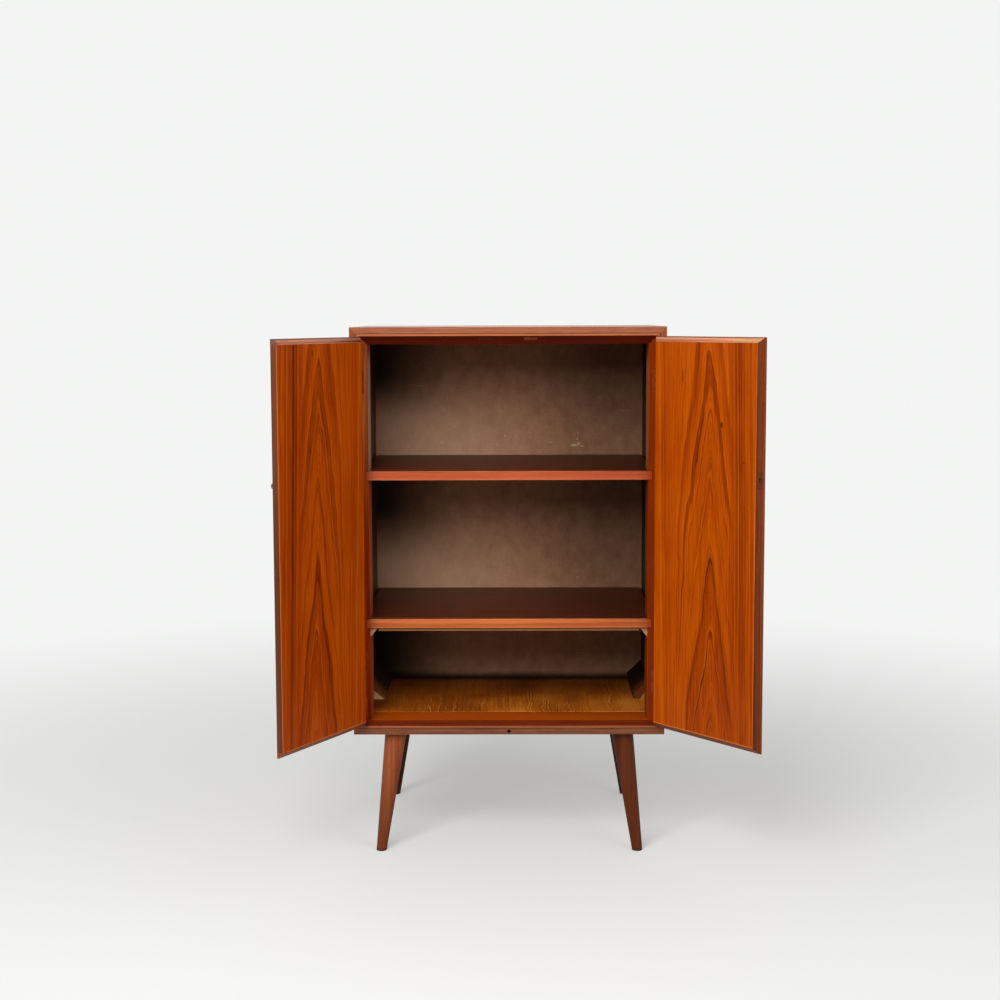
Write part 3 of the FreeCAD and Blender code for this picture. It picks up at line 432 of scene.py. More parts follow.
# Scuffs: place across, height, half width, half height, strength.
scuff_marks = ((0.162, 0.888, 0.0105, 0.0034, 0.8), (0.173, 0.892, 0.0045, 0.0045, 0.8),
               (0.181, 0.886, 0.005, 0.0025, 0.65), (0.170, 0.904, 0.002, 0.005, 0.5),
               (0.172, 0.919, 0.0015, 0.004, 0.45), (0.169, 0.943, 0.001, 0.003, 0.4),
               (0.171, 0.556, 0.004, 0.003, 0.35), (0.103, 0.896, 0.005, 0.002, 0.3),
               (-0.029, 0.890, 0.004, 0.003, 0.3), (-0.010, 0.912, 0.003, 0.003, 0.35),
               (-0.167, 0.896, 0.005, 0.003, 0.35), (-0.232, 0.916, 0.002, 0.006, 0.25),
               (-0.137, 0.936, 0.003, 0.007, 0.2), (-0.250, 0.886, 0.006, 0.003, 0.25))
# The two upper bays: where the painted light ends above, and where it is full.
upper_bays = ((1.07, 0.93), (0.74, 0.58))


def oval(tree, aside, above, wide, tall):
    """Nought in the middle of an oval and one on its edge, from the distances to its middle."""
    near = calc(tree, "DIVIDE", aside, wide)
    far = calc(tree, "DIVIDE", above, tall)
    return plus(tree, times(tree, near, near), times(tree, far, far))


finish, tree, shader = new_finish("hardboard", 0.85, Specular_IOR_Level=0.15)
space = board_space(tree, "XYZ")
felt = spread(tree, space, (330, 330, 330), 4.0, 0.75)
patches = spread(tree, space, (3.5, 3.5, 5), 4.0, 0.6, 4.0)
mottle = spread(tree, space, (30, 30, 22), 4.0, 0.65, 11.0)
fleck = rise(tree, spread(tree, space, (140, 140, 90), 3.0, 0.6, 2.0), 0.64, 0.76, 0.0, 0.22)
scrapes = rise(tree, spread(tree, space, (12, 12, 260), 3.0, 0.55, 9.0), 0.66, 0.72)
here_and_there = rise(tree, spread(tree, space, (7, 7, 7), 1.0, 0.5, 6.0), 0.52, 0.66, 0.0, 0.4)
scrapes = times(tree, scrapes, here_and_there)
mix = plus(tree, times(tree, felt, 0.42), times(tree, patches, 0.22), times(tree, mottle, 0.36))
board_browns = paints((126, 88, 64), (160, 116, 88), (187, 142, 110))
colour = ramp(tree, mix, (0.32, 0.5, 0.68), board_browns)
colour = blend(tree, calc(tree, "MAXIMUM", fleck, scrapes), colour, paint(208, 168, 134))
inwards = rise(tree, space[1], back_high.y - 0.002, back_low.y + 0.001, 0.0, 1.0)
scuffs = 0.0
for across, level, wide, tall, force in scuff_marks:
    reach = oval(tree, minus(tree, space[0], across), minus(tree, space[2], level), wide, tall)
    scuffs = calc(tree, "MAXIMUM", scuffs, rise(tree, reach, 0.3, 1.0, force, 0.0))
colour = blend(tree, times(tree, scuffs, inwards), colour, paint(214, 182, 150))
lit = 0.0
for top, foot in upper_bays:
    bay = between(tree, space[2], foot - 0.10, top + 0.13)
    lit = calc(tree, "MAXIMUM", lit, times(tree, rise(tree, space[2], foot, top, 1.0, 0.0), bay))
# Painted light: paler low in each upper bay, more to the left, where the lamps' light pools.
painted_light_low = times(tree, lit, rise(tree, space[0], -0.24, 0.13, 0.34, 0.0), inwards)
colour = blend(tree, painted_light_low, colour, paint(232, 192, 158))
low_bay = rise(tree, space[2], shelf_low - 0.002, shelf_low + 0.002, 1.0, 0.0)
# Painted shade: darker at the left outside the lit parts, and at the right in the upper bays.
painted_shade_left = times(tree, rise(tree, space[0], -0.335, -0.10, 0.97, 0.0), minus(tree, 1.0, lit))
painted_shade_right = times(tree, rise(tree, space[0], 0.03, 0.27, 0.0, 0.40), minus(tree, 1.0, low_bay))
painted_shade = times(tree, calc(tree, "MAXIMUM", painted_shade_left, painted_shade_right), inwards)
colour = blend(tree, painted_shade, colour, paint(16, 9, 6))
# Painted shade along the foot of the panel, by the floor, with a ragged edge.
painted_shade_foot_height = plus(tree, space[2], times(tree, patches, 0.012))
painted_shade_foot = rise(tree, painted_shade_foot_height, floor_level + 0.008, floor_level + 0.026, 0.9, 0.0)
colour = blend(tree, times(tree, painted_shade_foot, inwards), colour, paint(24, 12, 6))
wire(tree, shader, Base_Color=colour, Normal=relief(tree, felt, 0.7, 0.0005))
dress(finish, "back_panel")


def metal(name, tone, roughness, speck, bright=1.0):
    """A metal with a worn, slightly uneven surface. Tarnish makes it less bright."""
    finish, tree, shader = new_finish(name, roughness, Metallic=bright, Specular_IOR_Level=0.3)
    space = board_space(tree, "XYZ")
    cloud = spread(tree, space, (90, 90, 90), 4.0, 0.6)
    scratches = spread(tree, space, (2500, 2500, 300), 2.0, 0.5)
    wire(tree, shader, Base_Color=ramp(tree, cloud, (0.35, 0.62), (speck, tone)),
         Roughness=plus(tree, roughness - 0.1, times(tree, scratches, 0.25)),
         Normal=relief(tree, scratches, 0.2, 0.0001))
    return finish


steel = metal("dull steel", paint(168, 166, 162), 0.42, paint(108, 102, 94))
dress(steel, "back_panel_screws")

# Shelves: boards of dark stained veneer with a solid teak lipping in front, housed in
# slots of the side mouldings and resting behind on beech dowels. The lipping's ends in
# the housings stay in shadow and are stained.
shelf_tones = paints((100, 44, 24), (80, 32, 16), (52, 18, 8))
lipping_tones = {"upper": paints((194, 102, 64), (174, 82, 49), (130, 51, 26)),
                 "lower": paints((204, 121, 69), (188, 101, 54), (144, 67, 30))}
housing_from = 0.3118


def lipping_places(tree, space, colour, fibres):
    """The darker right half of a lipping, and its ends, stained and with painted shade, towards and inside the
    housings.
    """
    from_middle = calc(tree, "ABSOLUTE", space[2])
    colour = blend(tree, rise(tree, from_middle, 0.285, 0.310, 0.0, 0.4), colour, paint(120, 54, 28))
    colour = blend(tree, rise(tree, space[2], 0.02, 0.24, 0.0, 0.28), colour, paint(128, 44, 20))
    housed = rise(tree, from_middle, housing_from - 0.0013, housing_from, 0.0, 0.96)
    return blend(tree, housed, colour, paint(150, 58, 12))


def shelf_places(tree, space, colour, fibres):
    """The right half of a shelf, which is darker."""
    return blend(tree, rise(tree, space[2], 0.0, 0.28, 0.0, 0.42), colour, paint(34, 8, 2))


shelf_veneer = teak("shelf veneer", "YZX", shelf_tones, (0.7, 0.2), 0.01, seed=17.0, sheen=0.16,
                    roughness=0.4, local=shelf_places)
dress(shelf_veneer, "upper_shelf", "lower_shelf")
for level, tones in lipping_tones.items():
    node = level + "_shelf_lipping"
    shelf_lip = teak(level + " shelf lipping teak", "ZYX", tones, (0.35, 0.1), 0.004, seed=19.0,
                     local=lipping_places)
    eased(node, shelf_lip, "carcase", 1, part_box(node)[0].y, 0.0009)

# Below the lower shelf: a batten and two corner blocks of raw softwood, sawn and never
# finished, glued and pinned there as a stiffener. The floor's bearers are of the same
# wood, and the dowels under the shelves of beech.
grimy_tones = paints((168, 122, 82), (144, 99, 62), (112, 70, 41))
raw_tones = paints((196, 158, 116), (172, 130, 90), (136, 94, 60))
beech_tones = paints((206, 166, 124), (188, 146, 104), (160, 116, 78))
sawn = {"pith": (0.5, 0.1), "taper": 0.01, "roughness": 0.75, "dark_lines": 0.35}
raw_level = teak("raw softwood level", "ZYX", grimy_tones, seed=23.0, **sawn)
raw_deep = teak("raw softwood front to back", "XZY", raw_tones, seed=29.0, **sawn)
beech = teak("beech dowel", "XZY", beech_tones, (0.5, 0.1), roughness=0.6, seed=31.0, dark_lines=0.2)
dress(raw_level, "lower_shelf_batten")
dress(raw_deep, "left_shelf_block", "right_shelf_block", "left_floor_bearer", "right_floor_bearer")
dress(beech, "shelf_pins")

# Floor: a thin board with a golden figured veneer laid loose on two bearers behind the
# sill. Fine ripples run over it from front to back, its front edge is worn pale, and painted shade
# darkens it towards the back.
liner_low, liner_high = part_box("floor_liner")
finish, tree, shader = new_finish("floor liner veneer", 0.5, Specular_IOR_Level=0.12)
space = board_space(tree, "XZY")
across, through, along = space
meander = times(tree, minus(tree, spread(tree, space, (20, 20, 11), 3.0, 0.55, 3.0), 0.5), 0.034)
ripple = lines(tree, plus(tree, across, meander), 300.0, 3.0)
broad = spread(tree, space, (8, 8, 4.5), 3.0, 0.55, 12.0)
figured = rise(tree, spread(tree, space, (11, 11, 6), 2.0, 0.5, 15.0), 0.44, 0.62)
fibres = spread(tree, space, (600, 600, 14), 3.0, 0.6, 5.0)
tone = plus(tree, times(tree, ripple, 0.24), times(tree, broad, 0.52), times(tree, fibres, 0.24))
golds = paints((122, 56, 10), (170, 88, 18), (208, 122, 42))
colour = ramp(tree, tone, (0.36, 0.5, 0.64), golds)
bright = times(tree, rise(tree, ripple, 0.52, 0.72), figured, 0.6)
colour = blend(tree, bright, colour, paint(232, 158, 66))
inwards = minus(tree, along, liner_low.y)
# Painted shade: the liner darkens towards the back.
shade = minus(tree, 1.0, rise(tree, inwards, 0.10, 0.30, 1.0, 0.72))
colour = blend(tree, shade, colour, paint(60, 26, 8))
# Painted shade along the rear, where the liner meets the back panel; the mask is called grime.
from_rear = plus(tree, minus(tree, liner_high.y, along), times(tree, broad, 0.03))
grime = rise(tree, from_rear, 0.020, 0.060, 0.88, 0.0)
colour = blend(tree, grime, colour, paint(20, 9, 3))
ragged = times(tree, spread(tree, space, (90, 1, 1), 3.0, 0.6), 0.006)
worn = plus(tree, 0.0004, ragged)
kept = plus(tree, rise(tree, plus(tree, across, times(tree, ragged, 8.0)), 0.215, 0.235, 0.0, 0.45),
            rise(tree, spread(tree, space, (30, 1, 1), 3.0, 0.6, 21.0), 0.5, 0.62, 0.0, 0.25))
edge = times(tree, rise(tree, minus(tree, inwards, worn), -0.0008, 0.0006, 1.0, 0.0), kept)
colour = blend(tree, edge, colour, paint(200, 138, 76))
oiled(tree, shader, colour, fibres, rise(tree, ripple, 0.30, 0.42, 1.0, 0.0), 0.5, paint(214, 160, 104))
dress(finish, "floor_liner")

# Floor fillets: triangular strips of softwood glued into the corners between the liner
# and the walls. They are stained on slope and toe, and raw at the sawn front end.
fillet_stain = {"left": paints((96, 46, 18), (138, 76, 36), (96, 70, 60)),
                "right": paints((70, 27, 8), (108, 50, 18), (56, 20, 10))}
fillet_raw = {"left": paints((246, 208, 150), (220, 178, 122), (176, 130, 84)),
              "right": paints((178, 139, 76), (156, 116, 58), (123, 82, 36))}
# The raw patch on the sawn end: how far it reaches out from the wall, and up it.
raw_end = {"left": 0.0321, "right": 0.0194}
raw_height = 0.029


def fillet_places(side, hand):
    """Dark stain on a fillet's slope and toe, which has run some way over its raw sawn end, and painted
    shade darkening it towards the rear.
    """
    low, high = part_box(side + "_floor_fillet")
    wall = hand * max(abs(low.x), abs(high.x))
    width = abs(high.x - low.x)

    def local(tree, space, colour, fibres):
        from_wall = apart(tree, space[0], wall)
        above = minus(tree, space[1], low.z)
        share = plus(tree, calc(tree, "DIVIDE", from_wall, raw_end[side]),
                     calc(tree, "DIVIDE", above, raw_height))
        stained = rise(tree, share, 0.96, 1.03)
        deep, light, toe_tone = fillet_stain[side]
        stain = blend(tree, fibres, deep, light)
        toe = rise(tree, from_wall, width - 0.0012, width - 0.0004)
        stain = blend(tree, toe, stain, toe_tone)
        # Painted shade: the fillet darkens towards the rear.
        behind = rise(tree, space[2], low.y + 0.01, low.y + 0.09, 0.0, 0.95)
        stain = blend(tree, behind, stain, paint(10, 5, 3))
        return blend(tree, times(tree, stained, 0.97), colour, stain)
    return local


for side, hand in (("left", -1), ("right", 1)):
    fillet_wood = teak(side + " fillet softwood", "XZY", fillet_raw[side], (0.5, 0.1), 0.01, roughness=0.7,
                       seed=33.0, dark_lines=0.35, local=fillet_places(side, hand))
    dress(fillet_wood, side + "_floor_fillet")

# Legs: turned from solid teak, tapered to the foot and splayed, each screwed onto a
# slanting hanger bolt through the bottom board. The front planks differ: the front left leg is
# the palest and darkens towards its foot. The rear legs are darkest, as painted shade under the case.
leg_tones = {"front_left": paints((162, 94, 57), (138, 72, 41), (102, 47, 25)),
             "front_right": paints((98, 47, 22), (83, 36, 15), (57, 22, 7)),
             "rear_left": paints((92, 44, 26), (76, 33, 17), (50, 19, 8)),
             "rear_right": paints((84, 38, 22), (70, 28, 14), (46, 16, 6))}


def leg_places(tree, space, colour, fibres):
    """The darker foot end of the front left leg, and grime on every foot."""
    x, y, z = space
    foot = rise(tree, z, 0.01, 0.24, 0.75, 0.0)
    foot = times(tree, foot, rise(tree, x, -0.02, 0.02, 1.0, 0.0), rise(tree, y, -0.02, 0.02, 1.0, 0.0))
    colour = blend(tree, foot, colour, paint(88, 42, 20))
    return blend(tree, rise(tree, z, 0.002, 0.010, 0.5, 0.0), colour, paint(40, 20, 12))


for corner, tones in leg_tones.items():
    name = corner.replace("_", " ") + " leg teak"
    leg_teak = teak(name, "XYZ", tones, (0.8, 0.3), seed=37.0 + len(corner), ring=0.011, sheen=0.14,
                    contrast=0.85, dark_lines=0.6, local=leg_places)
    dress(leg_teak, corner + "_leg")
dress(steel, "leg_hanger_bolts")

# Doors: veneered boards in a border of solid lippings, bevelled towards the inside.
# The inner faces are matched leaves of one flat cut teak veneer: tall pointed arches up
# the middle, dark lines straight up along the meeting edge.
door_joints = {joint["child"]: joint for joint in frame["joints"]}
panel_foot, panel_edge = 0.0125, 0.3168
hinge_edge, meeting_edge = 0.0005, 0.3288
leaf_tones = {"left": paints((192, 86, 6), (166, 64, 2), (122, 38, 0)),
              "right": paints((186, 85, 5), (160, 63, 2), (116, 37, 0))}
outer_tones = paints((124, 54, 18), (158, 80, 32), (182, 100, 44))
tone_steps = (0.41, 0.50, 0.59)
leaf_lean = {"left": 0.036, "right": 0.018}
# Tips of the main arches: height above the door's foot, strength.
arch_tips = {"left": ((1.170, 0.45), (0.768, 1.0), (0.700, 0.4), (0.543, 0.45), (0.368, 0.95),
                      (0.215, 0.3)),
             "right": ((1.180, 0.45), (0.985, 0.45), (0.792, 1.0), (0.600, 0.35), (0.405, 0.8),
                       (0.245, 0.55), (0.060, 0.4))}
# Dark lines along the meeting edge: distance from the arches' middle, width, strength.
edge_streaks = {"left": ((0.0800, 0.0030, 0.75), (0.0905, 0.0034, 0.8), (0.1060, 0.0013, 0.45),
                         (0.0655, 0.0014, 0.35), (0.1180, 0.0016, 0.3), (0.1270, 0.0012, 0.3)),
                "right": ((0.0770, 0.0040, 0.55), (0.0865, 0.0022, 0.5), (0.1000, 0.0012, 0.45),
                          (0.1120, 0.0012, 0.4), (0.0650, 0.0016, 0.35), (0.1235, 0.0012, 0.3))}
# Knots: distance from the hinge edge, height, half width, half height, strength.
knots = {"left": ((0.2152, 0.638, 0.0035, 0.012, 0.8), (0.2848, 0.611, 0.0014, 0.003, 0.8),
                  (0.2022, 0.841, 0.003, 0.008, 0.6)),
         "right": ((0.2165, 0.688, 0.005, 0.008, 0.75), (0.2120, 0.670, 0.002, 0.012, 0.6),
                   (0.2826, 0.612, 0.0016, 0.003, 1.0), (0.2842, 0.518, 0.0016, 0.003, 1.0),
                   (0.0978, 0.787, 0.004, 0.018, 0.45))}
rim_wear_and_glint_tone = paint(214, 116, 46)
straight_by_edge, straight_by_hinge = (0.050, 0.072), (-0.125, -0.080)
line_core, line_end = 0.003, 0.013


def shift(tree, factor, first, second):
    """Goes from one figure to another."""
    return plus(tree, first, times(tree, minus(tree, second, first), factor))


def sway(tree, space, steps, detail, seed, reach):
    """Noise about nought that bends a figure by up to half the reach each way."""
    return times(tree, minus(tree, spread(tree, space, steps, detail, 0.58, seed), 0.5), reach)


def arches(tree, space, from_hinge, outside, lean):
    """Three figures of a flat cut leaf: the side distance from its bent middle, the distance from its
    straight middle, and the height of the arch through each place."""
    middle_at, blunt, straight_from, slope, steeper, outer_lift = 0.18, 0.00003, 0.058, 5.5, 150.0, 0.37
    along = space[2]
    tilt = times(tree, minus(tree, 0.8, along), lean)
    upright = plus(tree, minus(tree, from_hinge, middle_at, tilt),
                   sway(tree, space, (5, 1, 2.5), 2.0, 14.0, 0.008))
    off = plus(tree, upright, sway(tree, space, (16, 1, 6), 3.0, 4.0, 0.022))
    rounded = calc(tree, "SQRT", plus(tree, times(tree, off, off), blunt))
    aside = minus(tree, times(tree, rounded, rise(tree, off, -0.01, 0.01, 0.94, 1.10)), 0.0055)
    past = calc(tree, "MAXIMUM", minus(tree, aside, straight_from), 0.0)
    flame = plus(tree, times(tree, aside, slope), times(tree, past, past, steeper))
    height = plus(tree, along, flame, sway(tree, space, (20, 1, 5), 2.0, 8.0, 0.11),
                  sway(tree, space, (70, 1, 16), 2.0, 9.0, 0.018), times(tree, outside, outer_lift))
    return off, upright, height


def leaf(side, hand, origin, turn):
    """One leaf of the doors' flame veneer, read from the door's hinge edge and foot. Its outer face has
    aged to the brown of the case. The pale rim on the inner face at the foot, and on the right leaf
    along the meeting edge, is wear with a painted highlight."""
    finish, tree, shader = new_finish(side + " door leaf", 0.42, Specular_IOR_Level=0.09)
    space = board_space(tree, "XYZ", origin, turn)
    x, through, along = space
    inside = rise(tree, through, 0.008, 0.010)
    outside = minus(tree, 1.0, inside)
    from_hinge = times(tree, x, hand)
    off, upright, height = arches(tree, space, from_hinge, outside, leaf_lean[side])
    straight = plus(tree, rise(tree, upright, *straight_by_edge),
                    rise(tree, upright, *straight_by_hinge, 0.75, 0.0))
    curved = minus(tree, 1.0, straight)

    ring_gap = 0.150
    count = plus(tree, calc(tree, "DIVIDE", height, ring_gap),
                 times(tree, lines(tree, height, 5.0, 1.0), 2.6))
    part = calc(tree, "FRACT", count)
    force = calc(tree, "POWER", chance(tree, count), 1.6)
    haze = times(tree, calc(tree, "POWER", part, 2.0), plus(tree, 0.35, times(tree, force, 0.65)))
    streaky = lines(tree, upright, 60.0, 3.0)
    banding = shift(tree, straight, minus(tree, 0.62, times(tree, haze, 0.36)), streaky)
    fine = shift(tree, straight, lines(tree, height, 60.0, 3.0), lines(tree, upright, 260.0, 3.0))
    fibres = spread(tree, space, (700, 1, 8), 3.0, 0.6, 1.0)
    pores = rise(tree, spread(tree, space, (1400, 1, 60), 1.0, 0.5, 5.0), 0.60, 0.72)
    cloud = spread(tree, space, (12, 1, 2.6), 3.0, 0.6, 2.0)
    wisps = spread(tree, space, (240, 1, 7), 3.0, 0.65, 12.0)
    tone = plus(tree, times(tree, banding, 0.36), times(tree, fine, 0.16), times(tree, fibres, 0.12),
                times(tree, cloud, 0.14), times(tree, wisps, 0.22),
                rise(tree, upright, -0.12, -0.03, 0.028, 0.0))
    pale, middle, dark = leaf_tones[side]
    colour = ramp(tree, tone, tone_steps, (dark, middle, pale))
    aged = ramp(tree, tone, tone_steps, outer_tones)
    colour = blend(tree, outside, colour, aged)
    deep = toned(dark, 0.36)

    marks = times(tree, rise(tree, part, 0.90, 0.98), force, curved, 0.32)
    bold_leg = rise(tree, off, -0.006, 0.010, 1.0, 0.55)
    for tip, strength in arch_tips[side]:
        below = minus(tree, height, tip)
        leg = rise(tree, minus(tree, tip, along), 0.10, 0.40, 1.0, 0.30)
        bold = min(1.0, 1.25 * strength)
        line = rise(tree, calc(tree, "ABSOLUTE", below), line_core, line_end, bold, 0.0)
        line = times(tree, line, leg, bold_leg)
        fade = times(tree, rise(tree, below, 0.0, 0.07, 0.45 * strength, 0.0),
                     rise(tree, below, -0.004, 0.004))
        arch = times(tree, calc(tree, "MAXIMUM", line, fade), curved, inside)
        marks = calc(tree, "MAXIMUM", marks, arch)
    patchy = rise(tree, spread(tree, space, (24, 1, 6), 2.0, 0.5, 6.0), 0.34, 0.58, 0.45, 1.0)
    marks = times(tree, marks, patchy)
    for place, width, strength in edge_streaks[side]:
        streak = rise(tree, apart(tree, upright, place), width * 0.4, width * 1.3, strength, 0.0)
        ends = plus(tree, along, sway(tree, space, (40, 1, 3), 1.0, 16.0 + 900 * place, 0.5))
        held = rise(tree, ends, 0.10, 0.62, 0.35, 1.0)
        marks = calc(tree, "MAXIMUM", marks, times(tree, streak, held))
    marks = times(tree, marks, rise(tree, fibres, 0.25, 0.6, 0.55, 1.0))
    for place, level, wide, tall, strength in knots[side]:
        reach = oval(tree, apart(tree, from_hinge, place), apart(tree, along, level), wide, tall)
        spot = rise(tree, reach, 0.2, 1.2, strength, 0.0)
        marks = calc(tree, "MAXIMUM", marks, times(tree, spot, inside))
    colour = blend(tree, marks, colour, deep)
    colour = blend(tree, times(tree, pores, 0.20), colour, deep)

    # Wear and a painted highlight: a pale rim at the foot of the inner face, and on the right leaf along the
    # meeting edge.
    rim = rise(tree, along, panel_foot + 0.0012, panel_foot + 0.0022, 1.0, 0.0)
    if side == "right":
        rim = calc(tree, "MAXIMUM", rim, rise(tree, from_hinge, panel_edge - 0.0022, panel_edge - 0.0012))
    worn_and_glinting_rim = times(tree, rim, inside, rise(tree, fibres, 0.3, 0.6, 0.3, 0.85))
    colour = blend(tree, worn_and_glinting_rim, colour, rim_wear_and_glint_tone)
    oiled(tree, shader, colour, fibres, pores, 0.42, rim_wear_and_glint_tone)
    return finish


bottom_lip = paints((150, 84, 48), (128, 64, 34), (90, 38, 18))
lip_tones = {"meeting": {"left": paints((112, 64, 44), (92, 50, 32), (62, 30, 18)),
                         "right": paints((128, 66, 34), (108, 50, 24), (74, 28, 12))},
             "hinge": {"left": paints((156, 84, 48), (132, 64, 34), (92, 38, 18)),
                       "right": paints((166, 84, 42), (144, 66, 30), (100, 40, 16))},
             # The top lippings' pale pink tones are a painted sheen of the light from above.
             "top": {"left": paints((190, 124, 94), (170, 104, 76), (126, 68, 44)),
                     "right": paints((222, 150, 116), (204, 128, 94), (160, 88, 58))},
             "bottom": {"left": bottom_lip, "right": bottom_lip}}
bare_tones = paints((166, 113, 69), (188, 136, 88), (206, 158, 112))
veneer_from, corner_from = 0.0158, 0.0145
end_stain_from, chip_from, chip_low, chip_rag = 0.318, 0.2305, 0.0070, 0.020


def lipping_wear(side, hand, edge, height):
    """The veneered inner face of the left door's meeting edge, the dark arris on top of both doors, the
    stain on the end of the left one's top lipping, and the patch where the right one's is chipped."""
    def local(tree, space, colour, fibres):
        if edge == "meeting" and side == "left":
            u = times(tree, space[0], hand)
            tone = plus(tree, times(tree, lines(tree, u, 260.0, 4.0), 0.6), times(tree, fibres, 0.4))
            pale, middle, dark = leaf_tones[side]
            veneer = ramp(tree, tone, (0.36, 0.50, 0.62), (dark, middle, pale))
            colour = blend(tree, rise(tree, space[1], veneer_from, veneer_from + 0.0006), colour, veneer)
            corner = rise(tree, space[1], corner_from, corner_from + 0.0015)
            worn = blend(tree, corner, colour, paint(214, 126, 52))
            colour = blend(tree, rise(tree, u, 0.3274, 0.3282, 0.0, 0.4), colour, worn)
        if edge == "top":
            arris = rise(tree, space[0], height - 0.0032, height - 0.0014, 0.0, 0.85)
            colour = blend(tree, arris, colour, paint(66, 34, 24))
        if edge == "top" and side == "left":
            u = times(tree, space[2], hand)
            stain = rise(tree, u, end_stain_from, end_stain_from + 0.008, 0.0, 0.8)
            colour = blend(tree, stain, colour, paint(86, 60, 52))
        if edge == "top" and side == "right":
            u, y = times(tree, space[2], hand), space[1]
            ragged = times(tree, spread(tree, space, (160, 160, 160), 3.0, 0.65, 2.0), chip_rag)
            start = rise(tree, minus(tree, u, ragged), chip_from, chip_from + 0.0015)
            low = rise(tree, minus(tree, y, times(tree, ragged, 0.25)), chip_low, chip_low + 0.0006)
            bare = ramp(tree, fibres, (0.3, 0.5, 0.7), bare_tones)
            colour = blend(tree, times(tree, start, low), colour, bare)
        return colour
    return local


for side, hand in (("left", 1), ("right", -1)):
    joint = door_joints[side + "_door"]
    turn = -math.radians(joint["range_deg"][0]) * joint["axis"][2]
    lipping_low, lipping_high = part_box(side + "_door_hinge_lipping")
    foot, height = lipping_low.z, lipping_high.z - lipping_low.z
    origin = (joint["pos_m"][0], joint["pos_m"][1], foot)
    laid = (Matrix.Translation(origin) @ Matrix.Rotation(turn, 4, "Z")).inverted()
    dress(leaf(side, hand, origin, turn), side + "_door_panel")
    outer = {"hinge": (0, hand * hinge_edge), "meeting": (0, hand * meeting_edge), "top": (2, height),
             "bottom": (2, 0.0)}
    for edge, (axis, value) in outer.items():
        order, pith = ("XYZ", (hand * 0.9, 0.1)) if axis == 0 else ("ZYX", (0.9, 0.1))
        wood = teak("%s door %s lipping teak" % (side, edge), order, lip_tones[edge][side], pith,
                    origin=origin, turn=turn, seed=47.0 + len(edge) + hand, sheen=0.1,
                    local=lipping_wear(side, hand, edge, height))
        rub = 0.0 if edge == "top" else 0.6
        eased("%s_door_%s_lipping" % (side, edge), wood, side + "_door", axis, value, 0.0006,
              laid, rub)

# Hinges, catches and lock furniture: brass gone brown, let in flush with the wood, so
# that little of it shows. The lock's case and bolt are of bronzed steel, and the key and
# the catches' springs of bright steel gone dull.
dull_brass = metal("browned brass", paint(136, 58, 20), 0.62, paint(112, 42, 12), 0.2)
blackened_brass = metal("blackened brass", paint(76, 24, 8), 0.66, paint(60, 16, 4), 0.1)
worn_brass = metal("worn brass", paint(140, 64, 34), 0.55, paint(108, 44, 20), 0.3)
bronze = metal("bronzed steel", paint(112, 62, 38), 0.62, paint(88, 46, 26), 0.3)
dark_bronze = metal("dark bronzed brass", paint(96, 44, 20), 0.62, paint(72, 30, 12), 0.25)
for side in ("left", "right"):
    for where in ("upper", "lower"):
        dress(dull_brass, "%s_door_%s_hinge_leaf" % (side, where), "%s_%s_hinge_frame_leaf" % (side, where))
    dress(dull_brass, side + "_door_hinge_screws")
dress(dull_brass, "hinge_pins", "hinge_frame_screws", "keyhole_escutcheon")
dress(blackened_brass, "left_ball_catch", "left_catch_ball")
dress(worn_brass, "right_ball_catch", "right_catch_ball")
dress(bronze, "lock_case", "lock_bolt")
dress(dark_bronze, "lock_strike")
dress(steel, "catch_springs", "key")

# Studio: a pale floor, a soft sky and two large soft lamps, and the camera where the
# photograph was taken from, a little above the middle of the doors. Far off the floor
# goes over into the colour of the sky.
floor_half = 20.0
seen = (0.90, 0.91, 0.90, 1.0)
floor_colour = (0.80, 0.80, 0.78, 1.0)
floor_bounce = (0.36, 0.30, 0.24, 1.0)
mesh = bpy.data.meshes.new("studio_floor")
shape = bmesh.new()
bmesh.ops.create_grid(shape, x_segments=1, y_segments=1, size=floor_half)
shape.to_mesh(mesh)
shape.free()
floor = bpy.data.objects.new("studio_floor", mesh)
bpy.context.scene.collection.objects.link(floor)
finish, tree, shader = new_finish("studio floor", 0.9, Specular_IOR_Level=0.2)
path = add(tree, "LightPath")
wire(tree, shader, Base_Color=blend(tree, path.outputs["Is Diffuse Ray"], floor_colour, floor_bounce))
place = add(tree, "SeparateXYZ", {"Vector": add(tree, "TexCoord").outputs["Object"]})
flat = add(tree, "CombineXYZ", {"X": place.outputs["X"], "Y": place.outputs["Y"]}).outputs[0]
away = add(tree, "VectorMath", {0: flat}, operation="LENGTH").outputs["Value"]
faded = times(tree, rise(tree, away, 0.3, 3.2, 0.30, 1.0), path.outputs["Is Camera Ray"])
glow = add(tree, "Emission", {"Color": seen, "Strength": 1.0})
mixed = add(tree, "MixShader", {0: faded, 1: shader.outputs[0], 2: glow.outputs[0]})
tree.links.new(mixed.outputs[0], tree.nodes["Material Output"].inputs["Surface"])
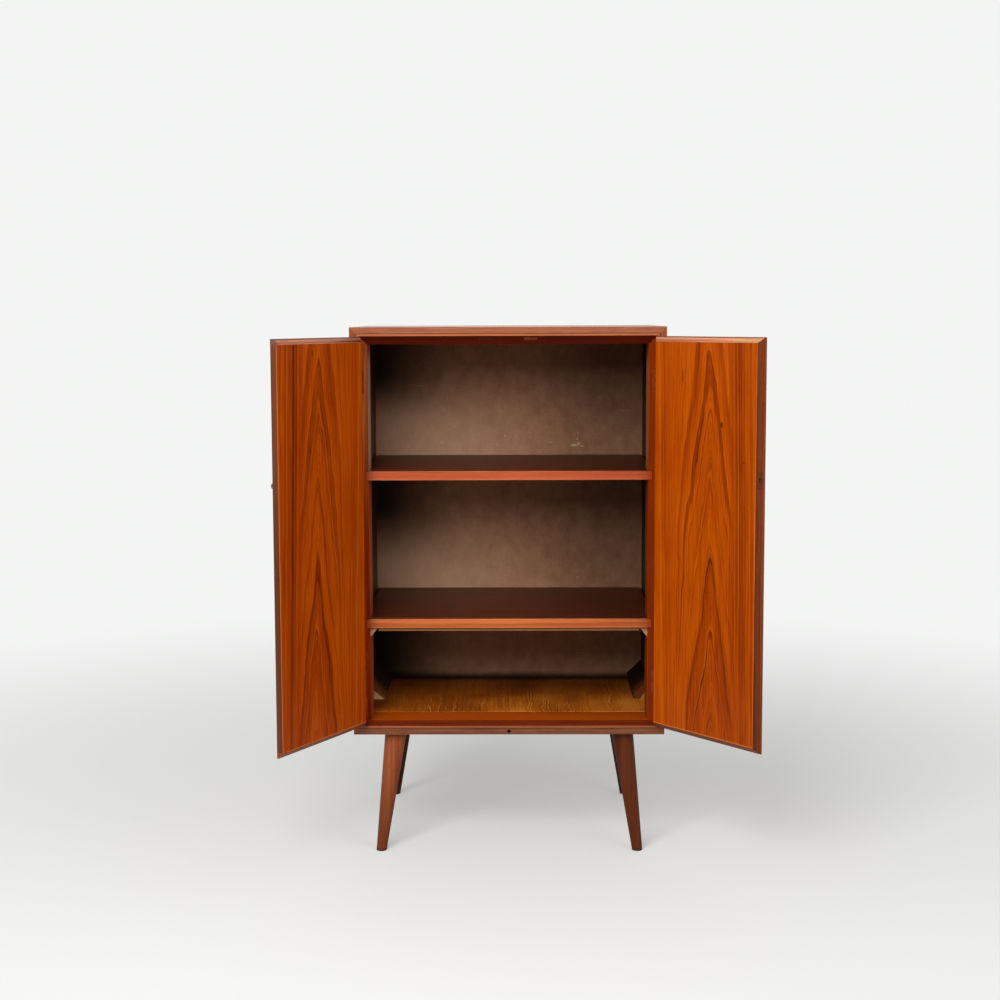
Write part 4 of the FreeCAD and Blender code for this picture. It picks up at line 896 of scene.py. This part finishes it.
mesh.materials.append(finish)

world = bpy.data.worlds.new("studio sky")
bpy.context.scene.world = world
world.use_nodes = True
sky = world.node_tree
sky.nodes.clear()
soft_light = 0.42
path = add(sky, "LightPath")
direct = calc(sky, "MAXIMUM", path.outputs["Is Camera Ray"], path.outputs["Is Glossy Ray"],
              path.outputs["Is Transmission Ray"])
backdrop = add(sky, "Background", {"Color": seen, "Strength": 1.0})
light = add(sky, "Background", {"Color": (1, 1, 1, 1), "Strength": soft_light})
mixed = add(sky, "MixShader", {0: direct, 1: light.outputs[0], 2: backdrop.outputs[0]})
add(sky, "OutputWorld", {"Surface": mixed.outputs[0]})

# Lamps: name, place, size and power.
aim = Vector((0.0, 0.0, 0.7))
lamps = (("key_lamp", (-1.15, -3.4, 2.6), 2.2, 150.0), ("fill_lamp", (2.4, -3.0, 1.8), 2.0, 30.0))
for name, spot, size, power in lamps:
    lamp = bpy.data.lights.new(name, "AREA")
    lamp.size = size
    lamp.energy = power
    holder = bpy.data.objects.new(name, lamp)
    holder.visible_glossy = False
    bpy.context.scene.collection.objects.link(holder)
    holder.location = spot
    holder.rotation_euler = (aim - Vector(spot)).to_track_quat("-Z", "Y").to_euler()

camera_at = Vector((0.01775, -4.0592, 1.2134))
camera_data = bpy.data.cameras.new("camera")
camera_data.sensor_width = 36.0
camera_data.lens = 62.18
camera = bpy.data.objects.new("camera", camera_data)
bpy.context.scene.collection.objects.link(camera)
yaw, pitch, roll = math.radians(0.544), math.radians(6.151), math.radians(-0.192)
level = Vector((math.cos(yaw), math.sin(yaw), 0))
ahead = Vector((-math.sin(yaw) * math.cos(pitch), math.cos(yaw) * math.cos(pitch), -math.sin(pitch)))
upward = level.cross(ahead)
right = level * math.cos(roll) + upward * math.sin(roll)
up = upward * math.cos(roll) - level * math.sin(roll)
pose = Matrix((right, up, -ahead)).transposed().to_4x4()
pose.translation = camera_at
camera.matrix_world = pose
bpy.context.scene.camera = camera
bpy.context.scene.view_settings.view_transform = "Standard"
